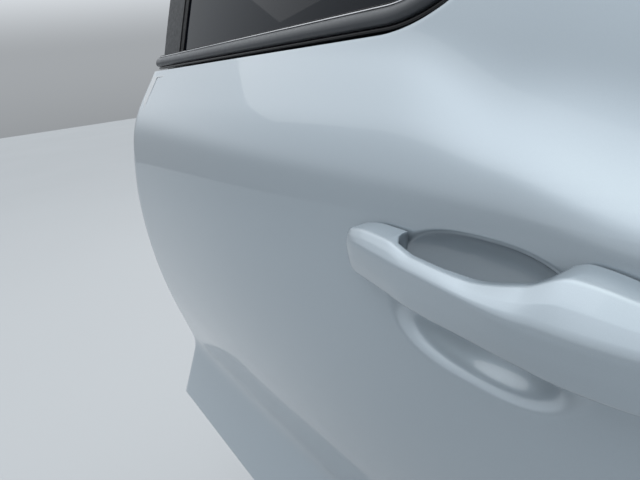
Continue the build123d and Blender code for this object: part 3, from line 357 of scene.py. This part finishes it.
def make_materials():
    m = {}
    p = Paint("body_paint", (0.33, 0.38, 0.42), 0.34, Metallic=0.5,
              Coat_Weight=1.0, Coat_Roughness=0.03, Coat_IOR=1.5)
    p.vary(p.noise(0.22, 2.0), 0.05).bump(p.noise(9.0, 2.0), 0.003, 0.5)
    m["body_paint"] = p.mat
    p = Paint("panel_paint", (0.44, 0.455, 0.47), 0.38, Metallic=0.15, Coat_Weight=0.4, Coat_Roughness=0.15)
    p.vary(p.noise(60.0), 0.06).rough_by(p.noise(14.0), 0.32, 0.5).bump(p.noise(3.0, 4.0), 0.03, 0.5)
    m["panel_paint"] = p.mat
    p = Paint("black_paint", (0.018, 0.018, 0.019), 0.4, Coat_Weight=0.3, Coat_Roughness=0.2)
    p.vary(p.noise(20.0), 0.2).rough_by(p.noise(5.0), 0.32, 0.5).bump(p.noise(1.2, 4.0), 0.03, 0.6)
    m["black_paint"] = p.mat
    p = Paint("rubber", (0.010, 0.010, 0.011), 0.62, Specular_IOR_Level=0.25)
    p.vary(p.noise(15.0), 0.3).rough_by(p.noise(4.0), 0.52, 0.75).bump(p.noise(0.7, 4.0), 0.04, 0.7)
    m["rubber"] = p.mat
    p = Paint("sash_black", (0.008, 0.009, 0.011), 0.34, Specular_IOR_Level=0.15)
    p.vary(p.noise(30.0), 0.08).rough_by(p.noise(6.0), 0.28, 0.42).bump(p.noise(0.45, 3.0), 0.015, 0.6)
    m["sash_black"] = p.mat
    p = Paint("moulding_black", (0.032, 0.035, 0.040), 0.33)
    p.vary(p.noise(120.0, 2.0, (0.25, 1, 1)), 0.08).rough_by(p.noise(5.0), 0.3, 0.42)
    p.bump(p.noise(0.5, 3.0), 0.01, 0.5)
    m["moulding_black"] = p.mat
    p = Paint("tinted_glass", (0.006, 0.009, 0.015), 0.02, Transmission_Weight=0.6, IOR=1.25)
    p.vary(p.noise(400.0, 1.0), 0.1).rough_by(p.noise(70.0, 3.0), 0.0, 0.03)
    m["tinted_glass"] = p.mat
    p = Paint("trim_plastic", (0.03, 0.03, 0.032), 0.55)
    p.vary(p.noise(50.0), 0.12).rough_by(p.noise(9.0), 0.48, 0.64)
    p.bump(p.cells(0.9, feature="SMOOTH_F1"), 0.12, 0.5)
    m["trim_plastic"] = p.mat
    p = Paint("soft_trim", (0.042, 0.041, 0.043), 0.6, Sheen_Weight=0.15, Sheen_Roughness=0.4)
    p.vary(p.noise(40.0), 0.14).rough_by(p.noise(8.0), 0.52, 0.7)
    p.bump(p.cells(1.6, feature="SMOOTH_F1"), 0.2, 0.5).bump(p.noise(0.6), 0.03, 0.5)
    m["soft_trim"] = p.mat
    p = Paint("armrest_trim", (0.05, 0.048, 0.049), 0.5, Sheen_Weight=0.1, Sheen_Roughness=0.4)
    p.vary(p.noise(30.0), 0.14).rough_by(p.noise(6.0), 0.42, 0.6)
    p.bump(p.cells(1.9, feature="SMOOTH_F1"), 0.25, 0.55).bump(p.noise(22.0, 2.0), 0.5, 0.3)
    m["armrest_trim"] = p.mat
    p = Paint("satin_metal", (0.55, 0.55, 0.56), 0.3, Metallic=1.0)
    p.vary(p.noise(1.5, 2.0, (0.03, 1, 1)), 0.1).rough_by(p.noise(0.8, 2.0, (0.03, 1, 1)), 0.22, 0.36)
    m["satin_metal"] = p.mat
    p = Paint("gloss_trim", (0.006, 0.006, 0.007), 0.12, Specular_IOR_Level=0.35)
    p.vary(p.noise(40.0), 0.15).rough_by(p.noise(12.0), 0.05, 0.14)
    m["gloss_trim"] = p.mat
    p = Paint("zinc_steel", (0.55, 0.54, 0.50), 0.42, Metallic=1.0)
    p.vary(p.cells(9.0, out="Color"), 0.1).rough_by(p.noise(3.0), 0.34, 0.52).bump(p.noise(1.0), 0.02, 0.5)
    m["zinc_steel"] = p.mat
    p = Paint("black_plastic", (0.022, 0.022, 0.023), 0.48)
    p.vary(p.noise(25.0), 0.15).rough_by(p.noise(4.0), 0.4, 0.56).bump(p.cells(0.6), 0.05, 0.4)
    m["black_plastic"] = p.mat
    p = Paint("speaker_mesh", (0.022, 0.022, 0.023), 0.45)
    dots = p.cells(3.4, (1, 0, 1), random=0.0)
    # painted shade: the perforations are coloured near-black, standing in for the dark cavity behind them, on
    # top of the bump
    painted_hole_shade = p.ramp(dots, ((0.30, (0.002, 0.002, 0.002)), (0.36, (0.026, 0.026, 0.027))))
    p.link(painted_hole_shade, p.shader.inputs["Base Color"])
    p.bump(p.ramp(dots, ((0.26, (0, 0, 0)), (0.36, (1, 1, 1)))), 0.9, 0.8).bump(p.noise(0.7), 0.03, 0.4)
    m["speaker_mesh"] = p.mat
    p = Paint("insert_fabric", (0.085, 0.087, 0.092), 0.82, Sheen_Weight=0.35, Sheen_Roughness=0.5)
    weft, warp = p.noise(1.5, 2.0, (4, 1, 0.8)), p.noise(1.5, 2.0, (0.8, 1, 4))
    p.vary(weft, 0.3).rough_by(p.noise(30.0), 0.74, 0.9).bump(warp, 0.25, 0.6).bump(weft, 0.25, 0.6)
    m["insert_fabric"] = p.mat
    p = Paint("thread", (0.20, 0.20, 0.205), 0.7, Sheen_Weight=0.3)
    p.vary(p.noise(0.5, 2.0), 0.2).bump(p.noise(0.35, 2.0, (0.3, 1, 1)), 0.05, 0.6)
    m["thread"] = p.mat
    return m


MATS = make_materials()


for name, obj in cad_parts.items():
    for held in obj.material_slots:
        key = (held.material.name if held.material else "").split(".")[0]
        held.material = MATS.get(key, MATS["trim_plastic"])
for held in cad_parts["speaker_grille"].material_slots:
    held.material = MATS["speaker_mesh"]


# Skin
def make_skin():
    roll = 1.6
    xs = np.concatenate((
        np.linspace(EDGE_X + roll, 660.0, 62, endpoint=False),
        np.linspace(660.0, 700.0, 16, endpoint=False),
        np.linspace(700.0, 722.0, 16, endpoint=False),
        722.4 + (ARCH_X - 722.4) * (np.linspace(0, 1, 96, endpoint=False) ** 1.25),
        np.linspace(ARCH_X, 868.0, 16, endpoint=False),
        np.linspace(868.0, 955.0, 24, endpoint=False),
        REAR_X - roll - (REAR_X - roll - 955.0) * np.linspace(1, 0, 26) ** 1.8))
    rows = []
    low_edge = z_low(xs) + roll
    top_edge = z_top(xs) - roll
    a = np.maximum(196.0, low_edge + 0.08 * (top_edge - low_edge))
    b = np.maximum(336.0, a + 0.3 * (top_edge - a))
    for t in np.linspace(0, 1, 54, endpoint=False):
        rows.append(low_edge + (a - low_edge) * t)
    for t in np.linspace(0, 1, 100, endpoint=False):
        rows.append(a + (b - a) * t)
    for t in np.linspace(0, 1, 40):
        rows.append(b + (top_edge - b) * t)
    zs = np.array(rows)
    xg = np.broadcast_to(xs, zs.shape)
    ys = body_y(xg, zs)
    pts = np.stack((xg, ys, zs), -1)
    nr, nc = zs.shape
    verts = list(pts.reshape(-1, 3))
    faces = grid_faces(nr, nc)
    # a slot for the handle's leg and a hole for its front lug
    keep = []
    for f in faces:
        c = np.mean([verts[k] for k in f], axis=0)
        leg = HANDLE_X + 192 < c[0] < HANDLE_X + 216 and abs(c[2] - LUG_Z) < 11
        lug = HANDLE_X - 2.5 < c[0] < HANDLE_X + 11 and abs(c[2] - LUG_Z) < 9
        if not (leg or lug):
            keep.append(f)
    faces = keep
    # the rim: rolled edge and hem return
    ring = ([(0, j) for j in range(nc)] + [(i, nc - 1) for i in range(1, nr)]
            + [(nr - 1, j) for j in range(nc - 2, -1, -1)] + [(i, 0) for i in range(nr - 2, 0, -1)])
    base = np.array([pts[i, j] for i, j in ring])
    du, dv = np.gradient(pts, axis=1), np.gradient(pts, axis=0)
    nrm = np.cross(du, dv)
    nrm /= np.linalg.norm(nrm, axis=-1)[..., None]
    inward = np.array([nrm[i, j] for i, j in ring])
    inward[inward[:, 1] < 0] *= -1
    tangent = np.roll(base, -1, 0) - np.roll(base, 1, 0)
    tangent /= np.linalg.norm(tangent, axis=1)[:, None]
    out = np.cross(tangent, -inward)
    out /= np.linalg.norm(out, axis=1)[:, None]
    layers = [(roll * sin(radians(t)), roll * (1 - cos(radians(t)))) for t in (30, 60, 90, 120, 150, 180)]
    layers += [(-4.0, 2 * roll), (-11.0, 2 * roll), (-11.3, 2 * roll - 1.0), (-11.0, roll)]
    n = len(ring)
    index = [i * nc + j for i, j in ring]
    previous = index
    for along, deep in layers:
        start = len(verts)
        layer = base + out * along + inward * deep
        layer[:, 0] = np.clip(layer[:, 0], EDGE_X, REAR_X)
        layer[:, 2] = np.maximum(layer[:, 2], SILL_Z)
        verts.extend(layer)
        now = [start + k for k in range(n)]
        for k in range(n):
            q = (k + 1) % n
            faces.append((previous[k], previous[q], now[q], now[k])[::-1])
        previous = now
    skin = mesh_object("door_skin", verts, faces, [MATS["body_paint"]])
    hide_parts("outer_skin")
    return skin


make_skin()


# Pull handle
STRAIGHT = 0.02  # radians, a corner that turns less has no arc


def rounded(points, radii, n=7):
    """Closed outline with an arc of n points at each corner."""
    pts = np.asarray(points, float)
    out = []
    for k, r in enumerate(radii):
        p, a, b = pts[k], pts[k - 1] - pts[k], pts[(k + 1) % len(pts)] - pts[k]
        la, lb = np.linalg.norm(a), np.linalg.norm(b)
        a, b = a / la, b / lb
        half = np.arccos(np.clip(a @ b, -1, 1)) / 2
        t = min(r / tan(half), 0.46 * la, 0.46 * lb)
        turn = np.pi - 2 * half
        if turn < STRAIGHT:
            out += [p + a * t * (1 - 2 * w) if w < 0.5 else p + b * t * (2 * w - 1)
                    for w in np.linspace(0, 1, n)]
            continue
        r = t * tan(half)
        centre = p + (a + b) / np.linalg.norm(a + b) * (r / sin(half))
        u, v = p + a * t - centre, p + b * t - centre
        for w in np.linspace(0, 1, n):
            d = u * sin((1 - w) * turn) + v * sin(w * turn)
            out.append(centre + d / np.linalg.norm(d) * r)
    return np.array(out)


def grip_section(x):
    """Outline of the handle at x from its front tip, as (y, z) points."""
    low, high, ridge, out, low_out, top_out, corner = [
        float(pchip(GRIP_SECTIONS[:, 0], GRIP_SECTIONS[:, k], x)) for k in range(1, 8)]
    zs = np.array((low, low + 0.5 * (high - low), high)) + HANDLE_Z
    back = skin_y(HANDLE_X + x, zs) - FOOT_LIFT
    if FINGER_LINE[0][0] <= x <= FINGER_LINE[-1][0]:
        fx, fo = zip(*FINGER_LINE)
        back = np.minimum(back, OUT_Y - np.interp(x, fx, fo))
    back = np.maximum(back, OUT_Y - min(low_out, top_out, out) + 1.2)
    bow = 0.7 * min(1.0, (high - low) / 30)
    pts = [(back[0], zs[0]), (OUT_Y - low_out, zs[0]),
           (OUT_Y - 0.5 * (low_out + out) - bow, HANDLE_Z + 0.5 * (low + ridge)),
           (OUT_Y - out, HANDLE_Z + ridge),
           (OUT_Y - 0.5 * (top_out + out) - 0.6 * bow, HANDLE_Z + 0.5 * (high + ridge) + 0.6 * bow),
           (OUT_Y - top_out, zs[2]), (back[2], zs[2]), (back[1], zs[1])]
    return rounded(pts, (1.6, corner + 1.0, 40.0, corner + 7.0, 14.0, corner, 1.6, 30.0))


def loft_mesh(name, xs, mats, body, round_front=0.0, round_back=0.0):
    """The handle's sections joined along x, with both ends rounded off."""
    rings = [np.column_stack((np.full(56, HANDLE_X + x), grip_section(x))) for x in xs]
    for amount, at in ((round_front, 0), (round_back, -1)):
        if not amount:
            continue
        base = rings[at]
        mid = base.mean(0)
        sign = -1 if at == 0 else 1
        for step in (0.25, 0.55, 0.8, 0.95):
            share = sqrt(1 - step**2)
            size = np.linalg.norm((base - mid)[:, 1:], axis=1).mean()
            k = 1 - amount / size * (1 - share)
            ring = mid + (base - mid) * k
            ring[:, 0] = base[0, 0] + sign * amount * step
            rings.insert(0, ring) if at == 0 else rings.append(ring)
    m = rings[0].shape[0]
    verts = np.concatenate(rings)
    faces = grid_faces(len(rings), m, closed=True)
    faces += [tuple(range(m))[::-1], tuple(range((len(rings) - 1) * m, len(rings) * m))]
    return mesh_object(name, verts, faces, mats, body=body)


def make_handle():
    xs = np.unique(np.concatenate((
        np.linspace(-5, 16, 22), np.linspace(16, 56, 21), np.linspace(56, 68, 25), np.linspace(68, 165, 40),
        np.linspace(165, 180, 24), np.linspace(180, GRIP_LENGTH - 0.5, 30))))
    grip = loft_mesh("grip", xs, [MATS["body_paint"]], "handle", 1.2, 0.5)
    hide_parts("handle_grip")
    cap_xs = np.linspace(GRIP_LENGTH + CAP_GAP + 0.5, 259.0, 30)
    cap = loft_mesh("grip_cap", cap_xs, [MATS["body_paint"]], "door", 0.5, 1.2)
    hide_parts("handle_cap")
    leg = sweep("grip_leg", [(HANDLE_X + 204, y, LUG_Z) for y in np.linspace(OUT_Y - 2, OUT_Y + 61, 12)],
                oval(6.8, 5.9, 20, 8.0), [MATS["black_plastic"]], "handle", normal=(0, 0, 1))
    lug = sweep("grip_lug", [(HANDLE_X + 4.5, y, LUG_Z) for y in np.linspace(OUT_Y + 5, OUT_Y + 19, 6)],
                oval(3.4, 5.8, 20, 8.0), [MATS["black_plastic"]], "handle", normal=(0, 0, 1))


make_handle()

# Waist moulding
MOULD_X = (EDGE_X + 3.4, REAR_X - 3.6)


def along_belt(name, profile, slot):
    """Closed band along the waist line; the profile is (above the line, out from the glass face)."""
    x0, x1 = MOULD_X
    turn = KICK_X - KICK_R * tan(radians(KICK_HALF))
    xs = np.unique(np.concatenate((np.linspace(x0, turn - 6, 24), np.linspace(turn - 6, turn + 110, 44),
                                   np.linspace(turn + 110, x1, 18))))
    rings = []
    for x in xs:
        z = np.array([float(z_top(x, up)) for up, _ in profile])
        y = np.array([float(glass_y(zz, -d)) for zz, (_, d) in zip(z, profile)])
        rings.append(np.column_stack((np.full(len(profile), x), y, z)))
    m, n = len(profile), len(xs)
    faces = grid_faces(n, m, closed=True, flip=True)
    faces += [tuple(range(m)), tuple(range((n - 1) * m, n * m))[::-1]]
    piece = mesh_object(name, np.concatenate(rings), faces, [MATS[slot]])
    edge = piece.modifiers.new("soft", "BEVEL")
    edge.width, edge.segments, edge.limit_method, edge.angle_limit = 0.0003, 2, "ANGLE", radians(40)
    return piece


def make_moulding():
    band = along_belt("moulding_band", (
        (6.0, 0.8), (6.0, 11.6), (6.6, 13.4), (8.0, 15.2), (10.0, 16.6), (12.5, 17.4), (15.0, 17.5),
        (17.3, 16.9), (19.0, 15.8), (20.2, 14.3), (20.9, 12.9), (21.0, 12.0), (21.0, 0.8)), "moulding_black")
    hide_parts("waist_moulding")
    along_belt("moulding_line", (
        (21.2, 0.8), (21.2, 12.2), (21.7, 13.0), (22.4, 13.1), (22.9, 12.4), (23.0, 11.2), (23.0, 0.8)),
        "satin_metal")
    along_belt("moulding_lip", (
        (23.2, 0.8), (23.2, 11.0), (23.8, 11.2), (24.4, 10.2), (24.7, 7.0), (24.6, 3.0), (24.2, 0.8)),
        "rubber")
    along_belt("moulding_strip", (
        (0.6, 0.8), (0.6, 7.4), (1.4, 9.6), (2.8, 10.6), (4.6, 11.0), (5.7, 10.6), (5.8, 0.8)), "gloss_trim")


make_moulding()

# Seals
def round_path(points, radii, step=8.0):
    """Open path through side-view points with an arc at each inner corner."""
    pts = np.asarray(points, float)
    out = [pts[0]]
    for k in range(1, len(pts) - 1):
        a, b = pts[k - 1] - pts[k], pts[k + 1] - pts[k]
        la, lb = np.linalg.norm(a), np.linalg.norm(b)
        a, b = a / la, b / lb
        half = np.arccos(np.clip(a @ b, -1, 1)) / 2
        if radii[k - 1] <= 0 or half > 1.56:
            out.append(pts[k])
            continue
        t = min(radii[k - 1] / tan(half), 0.48 * la, 0.48 * lb)
        r = t * tan(half)
        c = pts[k] + (a + b) / np.linalg.norm(a + b) * (r / sin(half))
        u, v = pts[k] + a * t - c, pts[k] + b * t - c
        turn = np.pi - 2 * half
        for w in np.linspace(0, 1, max(4, int(turn * r / step) + 2)):
            d = u * sin((1 - w) * turn) + v * sin(w * turn)
            out.append(c + d / np.linalg.norm(d) * r)
    out.append(pts[-1])
    out = np.array(out)
    fine = [out[0]]
    for a, b in zip(out[:-1], out[1:]):
        n = max(1, int(np.ceil(np.linalg.norm(b - a) / (3 * step))))
        fine += [a + (b - a) * k / n for k in range(1, n + 1)]
    return np.array(fine)


def make_seals():
    inset = 42.0
    r = WHEEL_R + inset
    start = np.arcsin((SILL_Z + inset - WHEEL_Z) / r)
    arc_count = 24
    arc = [(WHEEL_X - r * cos(t), WHEEL_Z + r * sin(t)) for t in np.linspace(start, radians(45), arc_count)]
    points = [(EDGE_X + inset, BELT_Z - 61), (EDGE_X + inset, SILL_Z + inset), *arc,
              (REAR_X - inset, BELT_Z - REAR_DROP), (REAR_X - inset, BELT_Z - 126)]
    radii = [22.0, 10.0, *[0.0] * (arc_count - 2), 12.0, 60.0]
    path = round_path(points, radii)
    line = np.column_stack((path[:, 0], np.full(len(path), TRIM_Y), path[:, 1]))
    bulb = [(-5.6, 0.0), (-5.6, 2.2), (-4.2, 3.2), (-5.0, 5.4), (-4.6, 8.0), (-2.8, 10.6), (0.0, 11.7),
            (2.8, 10.6), (4.6, 8.0), (5.0, 5.4), (4.2, 3.2), (5.6, 2.2), (5.6, 0.0)]
    seal = sweep("door_seal", line, bulb, [MATS["rubber"]], normal=(0, 1, 0))
    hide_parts("weatherstrip")
    top = ROOF_Z - 40.0
    rear = REAR_X - 62.0
    frame_points = [(SASH_X, BELT_Z + 26), (SASH_X, top), (EDGE_X + 0.55 * DOOR_LENGTH, top - 6),
                    (rear, BELT_Z + 278), (rear, float(z_top(rear, 26.0)))]
    frame_path = round_path(frame_points, [21.0, 1400.0, 18.0])
    lip = np.column_stack((frame_path[:, 0], glass_y(frame_path[:, 1], -1.7), frame_path[:, 1]))
    bead = sweep("glass_run_lip", lip, oval(1.1, 0.9, 10), [MATS["rubber"]])
    cover = round_path([(SASH_EDGE_X, BELT_Z + 26), (SASH_EDGE_X, top + 14.2)], [])
    edge = np.column_stack((cover[:, 0], glass_y(cover[:, 1], -3.2), cover[:, 1]))
    bead = sweep("sash_bead", edge, oval(0.9, 0.7, 10), [MATS["rubber"]])


make_seals()


# Fasteners, plugs and stitching
def turned(profile, at, axis, n=28, turn=0.0):
    """Points and faces of a profile of (radius, height) turned about an axis from a place."""
    axis = np.asarray(axis, float)
    u = np.cross(axis, (0.0, 0.3, 1.0) if abs(axis[2]) < 0.9 else (1.0, 0.0, 0.0))
    u /= np.linalg.norm(u)
    v = np.cross(axis, u)
    t = np.linspace(0, 2 * np.pi, n, endpoint=False) + turn
    ring = np.cos(t)[:, None] * u + np.sin(t)[:, None] * v
    verts = np.concatenate([np.asarray(at) + ring * max(r, 0.05) + axis * h for r, h in profile])
    faces = grid_faces(len(profile), n, closed=True)
    faces += [tuple(range(n))[::-1], tuple(range((len(profile) - 1) * n, len(profile) * n))]
    return verts, faces


def gather(name, parts, slot, body="door", sharp=35.0):
    verts, faces = [], []
    for v, f in parts:
        k = len(verts)
        verts.extend(v)
        faces.extend(tuple(i + k for i in face) for face in f)
    piece = mesh_object(name, verts, faces, [MATS[slot]], body=body)
    piece.data.set_sharp_from_angle(angle=radians(sharp))
    return piece


def hex_bolt(at, axis, r=6.4):
    washer = ((0.0, 0.0), (r, 0.0), (r, 0.8), (0.92 * r, 1.4), (0.7 * r, 1.7))
    head = ((0.72 * r, 1.2), (0.72 * r, 4.4), (0.62 * r, 5.1), (0.4 * r, 5.2), (0.36 * r, 4.6), (0.0, 4.6))
    return [turned(washer, at, axis), turned(head, at, axis, 6)]


def make_fasteners():
    bolts = []
    for z in (0.0, 320.0):
        for side in (-1, 1):
            bolts += hex_bolt((45.7, -25.0, z + side * 29.8), (-1, 0, 0))
    gather("hinge_bolts", bolts, "zinc_steel")
    check = hex_bolt((56.0, 34.0, 141.0), (-1, 0, 0), 5.5) + hex_bolt((56.0, 34.0, 179.0), (-1, 0, 0), 5.5)
    gather("check_bolts", check, "zinc_steel")
    screws = []
    screw = ((5.6, 0.0), (5.4, 1.0), (4.6, 1.7), (2.9, 2.0), (2.8, 0.9), (0.0, 0.9))
    for y, z in ((15.0, 28.0), (15.0, -30.0), (50.0, -30.0)):
        at = (LATCH_FACE_X, y, LATCH_Z + z)
        screws.append(turned(screw, at, (1, 0, 0)))
    gather("latch_screws", screws, "zinc_steel")
    z = LATCH_Z
    mouth = [(62.0, z + 8.7), (27.0, z + 8.7), (19.3, z + 4.0),
             (19.3, z - 4.0), (27.0, z - 8.7), (62.0, z - 8.7)]
    path = round_path(mouth, [6.0, 3.0, 3.0, 6.0], 2.0)
    line = np.column_stack((np.full(len(path), LATCH_FACE_X + 0.8), path))
    sweep("latch_mouth_edge", line, oval(1.1, 1.0, 10), [MATS["black_plastic"]], normal=(1, 0, 0))
    dome = ((0.0, 0.0), (1.0, 0.0), (1.0, 0.08), (0.9, 0.2),
            (0.72, 0.22), (0.66, 0.14), (0.3, 0.16), (0.0, 0.16))

    def plug(at, axis, r):
        return turned([(a * r, b * r) for a, b in dome], at, axis, 32)

    x = EDGE_X + 34.0
    plugs = [plug((x, 32.0, z), (-1, 0, 0), r) for z, r in ((238.0, 17.0), (84.0, 9.0), (-60.0, 11.0))]
    plugs.append(plug((973.0, 34.0, 290.0), (1, 0, 0), 8.0))
    plugs += [plug((px, 30.0, SILL_Z + 34.0), (0, 0, -1), 7.5) for px in (150.0, 340.0, 540.0)]
    gather("plugs", plugs, "rubber")
    face = TRIM_FACE_Y
    places = ((118.0, -128.0), (640.0, -128.0), (862.0, 300.0))
    covers = [plug((cx, face, cz), (0, 1, 0), 8.0) for cx, cz in places]
    gather("trim_screw_covers", covers, "black_plastic")


make_fasteners()


def stitches(name, path, out, pitch=5.2, length=3.9, r=0.42):
    """Sewn thread: short rounded stitches set along a path, standing out of the surface."""
    path = np.asarray(path, float)
    run = np.concatenate(([0], np.cumsum(np.linalg.norm(np.diff(path, axis=0), axis=1))))
    parts = []
    out = np.asarray(out, float)
    for s in np.arange(pitch, run[-1] - length, pitch):
        a, b = [np.array([np.interp(q, run, path[:, k]) for k in range(3)]) for q in (s, s + length)]
        t = (b - a) / np.linalg.norm(b - a)
        side = np.cross(t, out)
        ang = np.linspace(0, 2 * np.pi, 6, endpoint=False)
        ring = np.cos(ang)[:, None] * side + np.sin(ang)[:, None] * out
        # share of the length, share of the radius, lift
        stations = ((0, 0.45, -0.7), (0.2, 1, 0.0), (0.8, 1, 0.0), (1, 0.45, -0.7))
        verts = np.concatenate([a + (b - a) * w + ring * r * k + out * r * lift for w, k, lift in stations])
        parts.append((verts, grid_faces(4, 6, closed=True) + [tuple(range(6))[::-1], tuple(range(18, 24))]))
    return gather(name, parts, "thread", sharp=80)


def pad_rings(x0, x1, z0, z1, corner, steps, y):
    """Padded panel on an upright face: rounded outlines shrinking inwards as they rise."""
    rings = []
    for inset, height in steps:
        c = max(corner - inset, 2.0)
        ring = rounded([(x0 + inset, z0 + inset), (x1 - inset, z0 + inset), (x1 - inset, z1 - inset),
                        (x0 + inset, z1 - inset)], [c] * 4, 10)
        rings.append(np.column_stack((ring[:, 0], np.full(len(ring), y + height), ring[:, 1])))
    m = len(rings[0])
    faces = grid_faces(len(rings), m, closed=True)
    faces.append(tuple(range((len(rings) - 1) * m, len(rings) * m)))
    faces.append(tuple(range(m))[::-1])
    return np.concatenate(rings), faces, rings


def make_lining():
    face = TRIM_FACE_Y
    verts, faces, rings = pad_rings(146.0, 884.0, 240.0, 343.0, 20.0, (
        (0.0, 0.0), (0.0, 1.4), (0.7, 2.4), (2.0, 3.1), (4.0, 3.5), (6.4, 3.55), (7.2, 3.2), (8.0, 3.6),
        (11.0, 4.3), (18.0, 5.0), (30.0, 5.6), (44.0, 5.9)), face)
    insert = mesh_object("trim_insert", verts, faces, [MATS["insert_fabric"]])
    seam = rings[5]
    stitches("insert_stitching", np.vstack((seam, seam[:1])) + (0, 0.2, 0), (0, 1, 0))
    top = [(x, WEB_Y + 32.0 + 0.2, BELT_Z - 95.0 + 13.0) for x in np.linspace(86.0, 936.0, 60)]
    stitches("waist_stitching", top, (0, 1, 0))
    arm_y, arm_z = face + 0.3, BELT_Z - 129.0
    arm = [(336.0, arm_y + 6), (365.0, arm_y + 47), (642.0, arm_y + 47), (704.0, arm_y + 6)]
    plan = round_path(arm, [22.0, 48.0], 4.0)
    seam = np.column_stack((plan, np.full(len(plan), arm_z + 0.15)))
    stitches("armrest_stitching", seam, (0, 0, 1))
    ring = [(SPEAKER_X + SPEAKER_RIM_R * cos(t), face + 5.0, SPEAKER_RIM_R * sin(t))
            for t in np.linspace(0, 2 * np.pi, 90, endpoint=False)]
    bead = [(-3.6, -1.5), (-3.4, 0.6), (-2.2, 1.7), (0.0, 2.1),
            (2.0, 1.6), (2.9, 0.2), (2.9, -3.0), (0.0, -3.6)]
    rim = sweep("speaker_rim", ring, bead, [MATS["black_plastic"]], closed=True, normal=(0, 1, 0))
    x0, x1, z = EDGE_X + 318.0, EDGE_X + 588.0, SILL_Z + 250.0
    out = face + 0.3 + 44.0 - 1.5
    corners = [(x0 + 1.5, face + 1), (x0 + 1.5, out), (x1 - 1.5, out), (x1 - 1.5, face + 1)]
    mouth = round_path(corners, [7.0, 7.0], 3.0)
    line = np.column_stack((mouth, np.full(len(mouth), z + 0.2)))
    lip = sweep("pocket_lip", line, oval(1.5, 1.3, 12), [MATS["trim_plastic"]], normal=(0, 0, 1))


make_lining()

# Stage
def make_stage():
    size, n = 14.0, 60
    g = np.linspace(-size, size, n)
    verts = [(x * 1000, y * 1000, FLOOR_Z * 1000) for x in g for y in g]
    p = Paint("floor_pale", (0.34, 0.35, 0.36), 0.6)
    p.vary(p.noise(1500.0, 1.0), 0.01).rough_by(p.noise(900.0, 1.0), 0.58, 0.62)
    floor = mesh_object("floor", verts, grid_faces(n, n), [p.mat], body=None)
    world = bpy.data.worlds.new("studio")
    bpy.context.scene.world = world
    world.use_nodes = True
    t = world.node_tree
    bg = t.nodes["Background"]
    coord = t.nodes.new("ShaderNodeTexCoord")
    split = t.nodes.new("ShaderNodeSeparateXYZ")
    ramp = t.nodes.new("ShaderNodeValToRGB")
    ramp.color_ramp.interpolation = "EASE"
    half = t.nodes.new("ShaderNodeMapRange")
    half.inputs["From Min"].default_value = -1
    # height as a share, from straight down to straight up, and brightness
    sky = ((0.40, 0.12), (0.53, 0.18), (0.61, 0.42), (0.80, 0.42), (0.93, 0.8), (1.0, 1.0))
    for k, (place, level) in enumerate(sky):
        e = ramp.color_ramp.elements[k] if k < 2 else ramp.color_ramp.elements.new(place)
        e.position = place
        e.color = (level * 0.95, level, min(1.0, level * 1.05), 1)
    t.links.new(coord.outputs["Generated"], split.inputs["Vector"])
    t.links.new(split.outputs["Z"], half.inputs["Value"])
    t.links.new(half.outputs["Result"], ramp.inputs["Fac"])
    t.links.new(ramp.outputs["Color"], bg.inputs["Color"])
    bg.inputs["Strength"].default_value = 2.15
    for name, place, target, size, power in (
            ("key", (-1.6, -3.4, 3.8), (0.5, 0.0, 0.25), 4.0, 30),
            ("overhead", (-0.9, 0.2, 3.1), (0.7, -0.1, 0.3), 4.2, 26),
            ("back", (0.6, 3.2, 2.4), (0.5, 0.0, 0.3), 3.0, 60)):
        light = bpy.data.lights.new(name, "AREA")
        light.energy = power
        light.size = size
        lamp = bpy.data.objects.new(name, light)
        lamp.location = place
        lamp.rotation_euler = (Vector(target) - Vector(place)).to_track_quat("-Z", "Y").to_euler()
        lamp.visible_glossy = name == "overhead"
        bpy.context.scene.collection.objects.link(lamp)


make_stage()

# Camera
cam_data = bpy.data.cameras.new("camera")
cam_data.lens = 27.0  # assumed
cam_data.sensor_width = 36.0
cam_data.sensor_fit = "HORIZONTAL"
cam_data.clip_start = 0.01
cam = bpy.data.objects.new("camera", cam_data)
# directions set to the photograph, in the part's frame
right = Vector((0.5839, 0.8049, -0.1058))
up = Vector((-0.2230, 0.2845, 0.9324))
fwd = Vector((-0.7806, 0.5209, -0.3456))
rot = Matrix((right, up, -fwd)).transposed().to_4x4()
cam.matrix_world = Matrix.Translation(Vector((0.9593, -0.2999, 0.430))) @ rot
bpy.context.scene.collection.objects.link(cam)
bpy.context.scene.camera = cam
bpy.context.scene.view_settings.view_transform = "Standard"
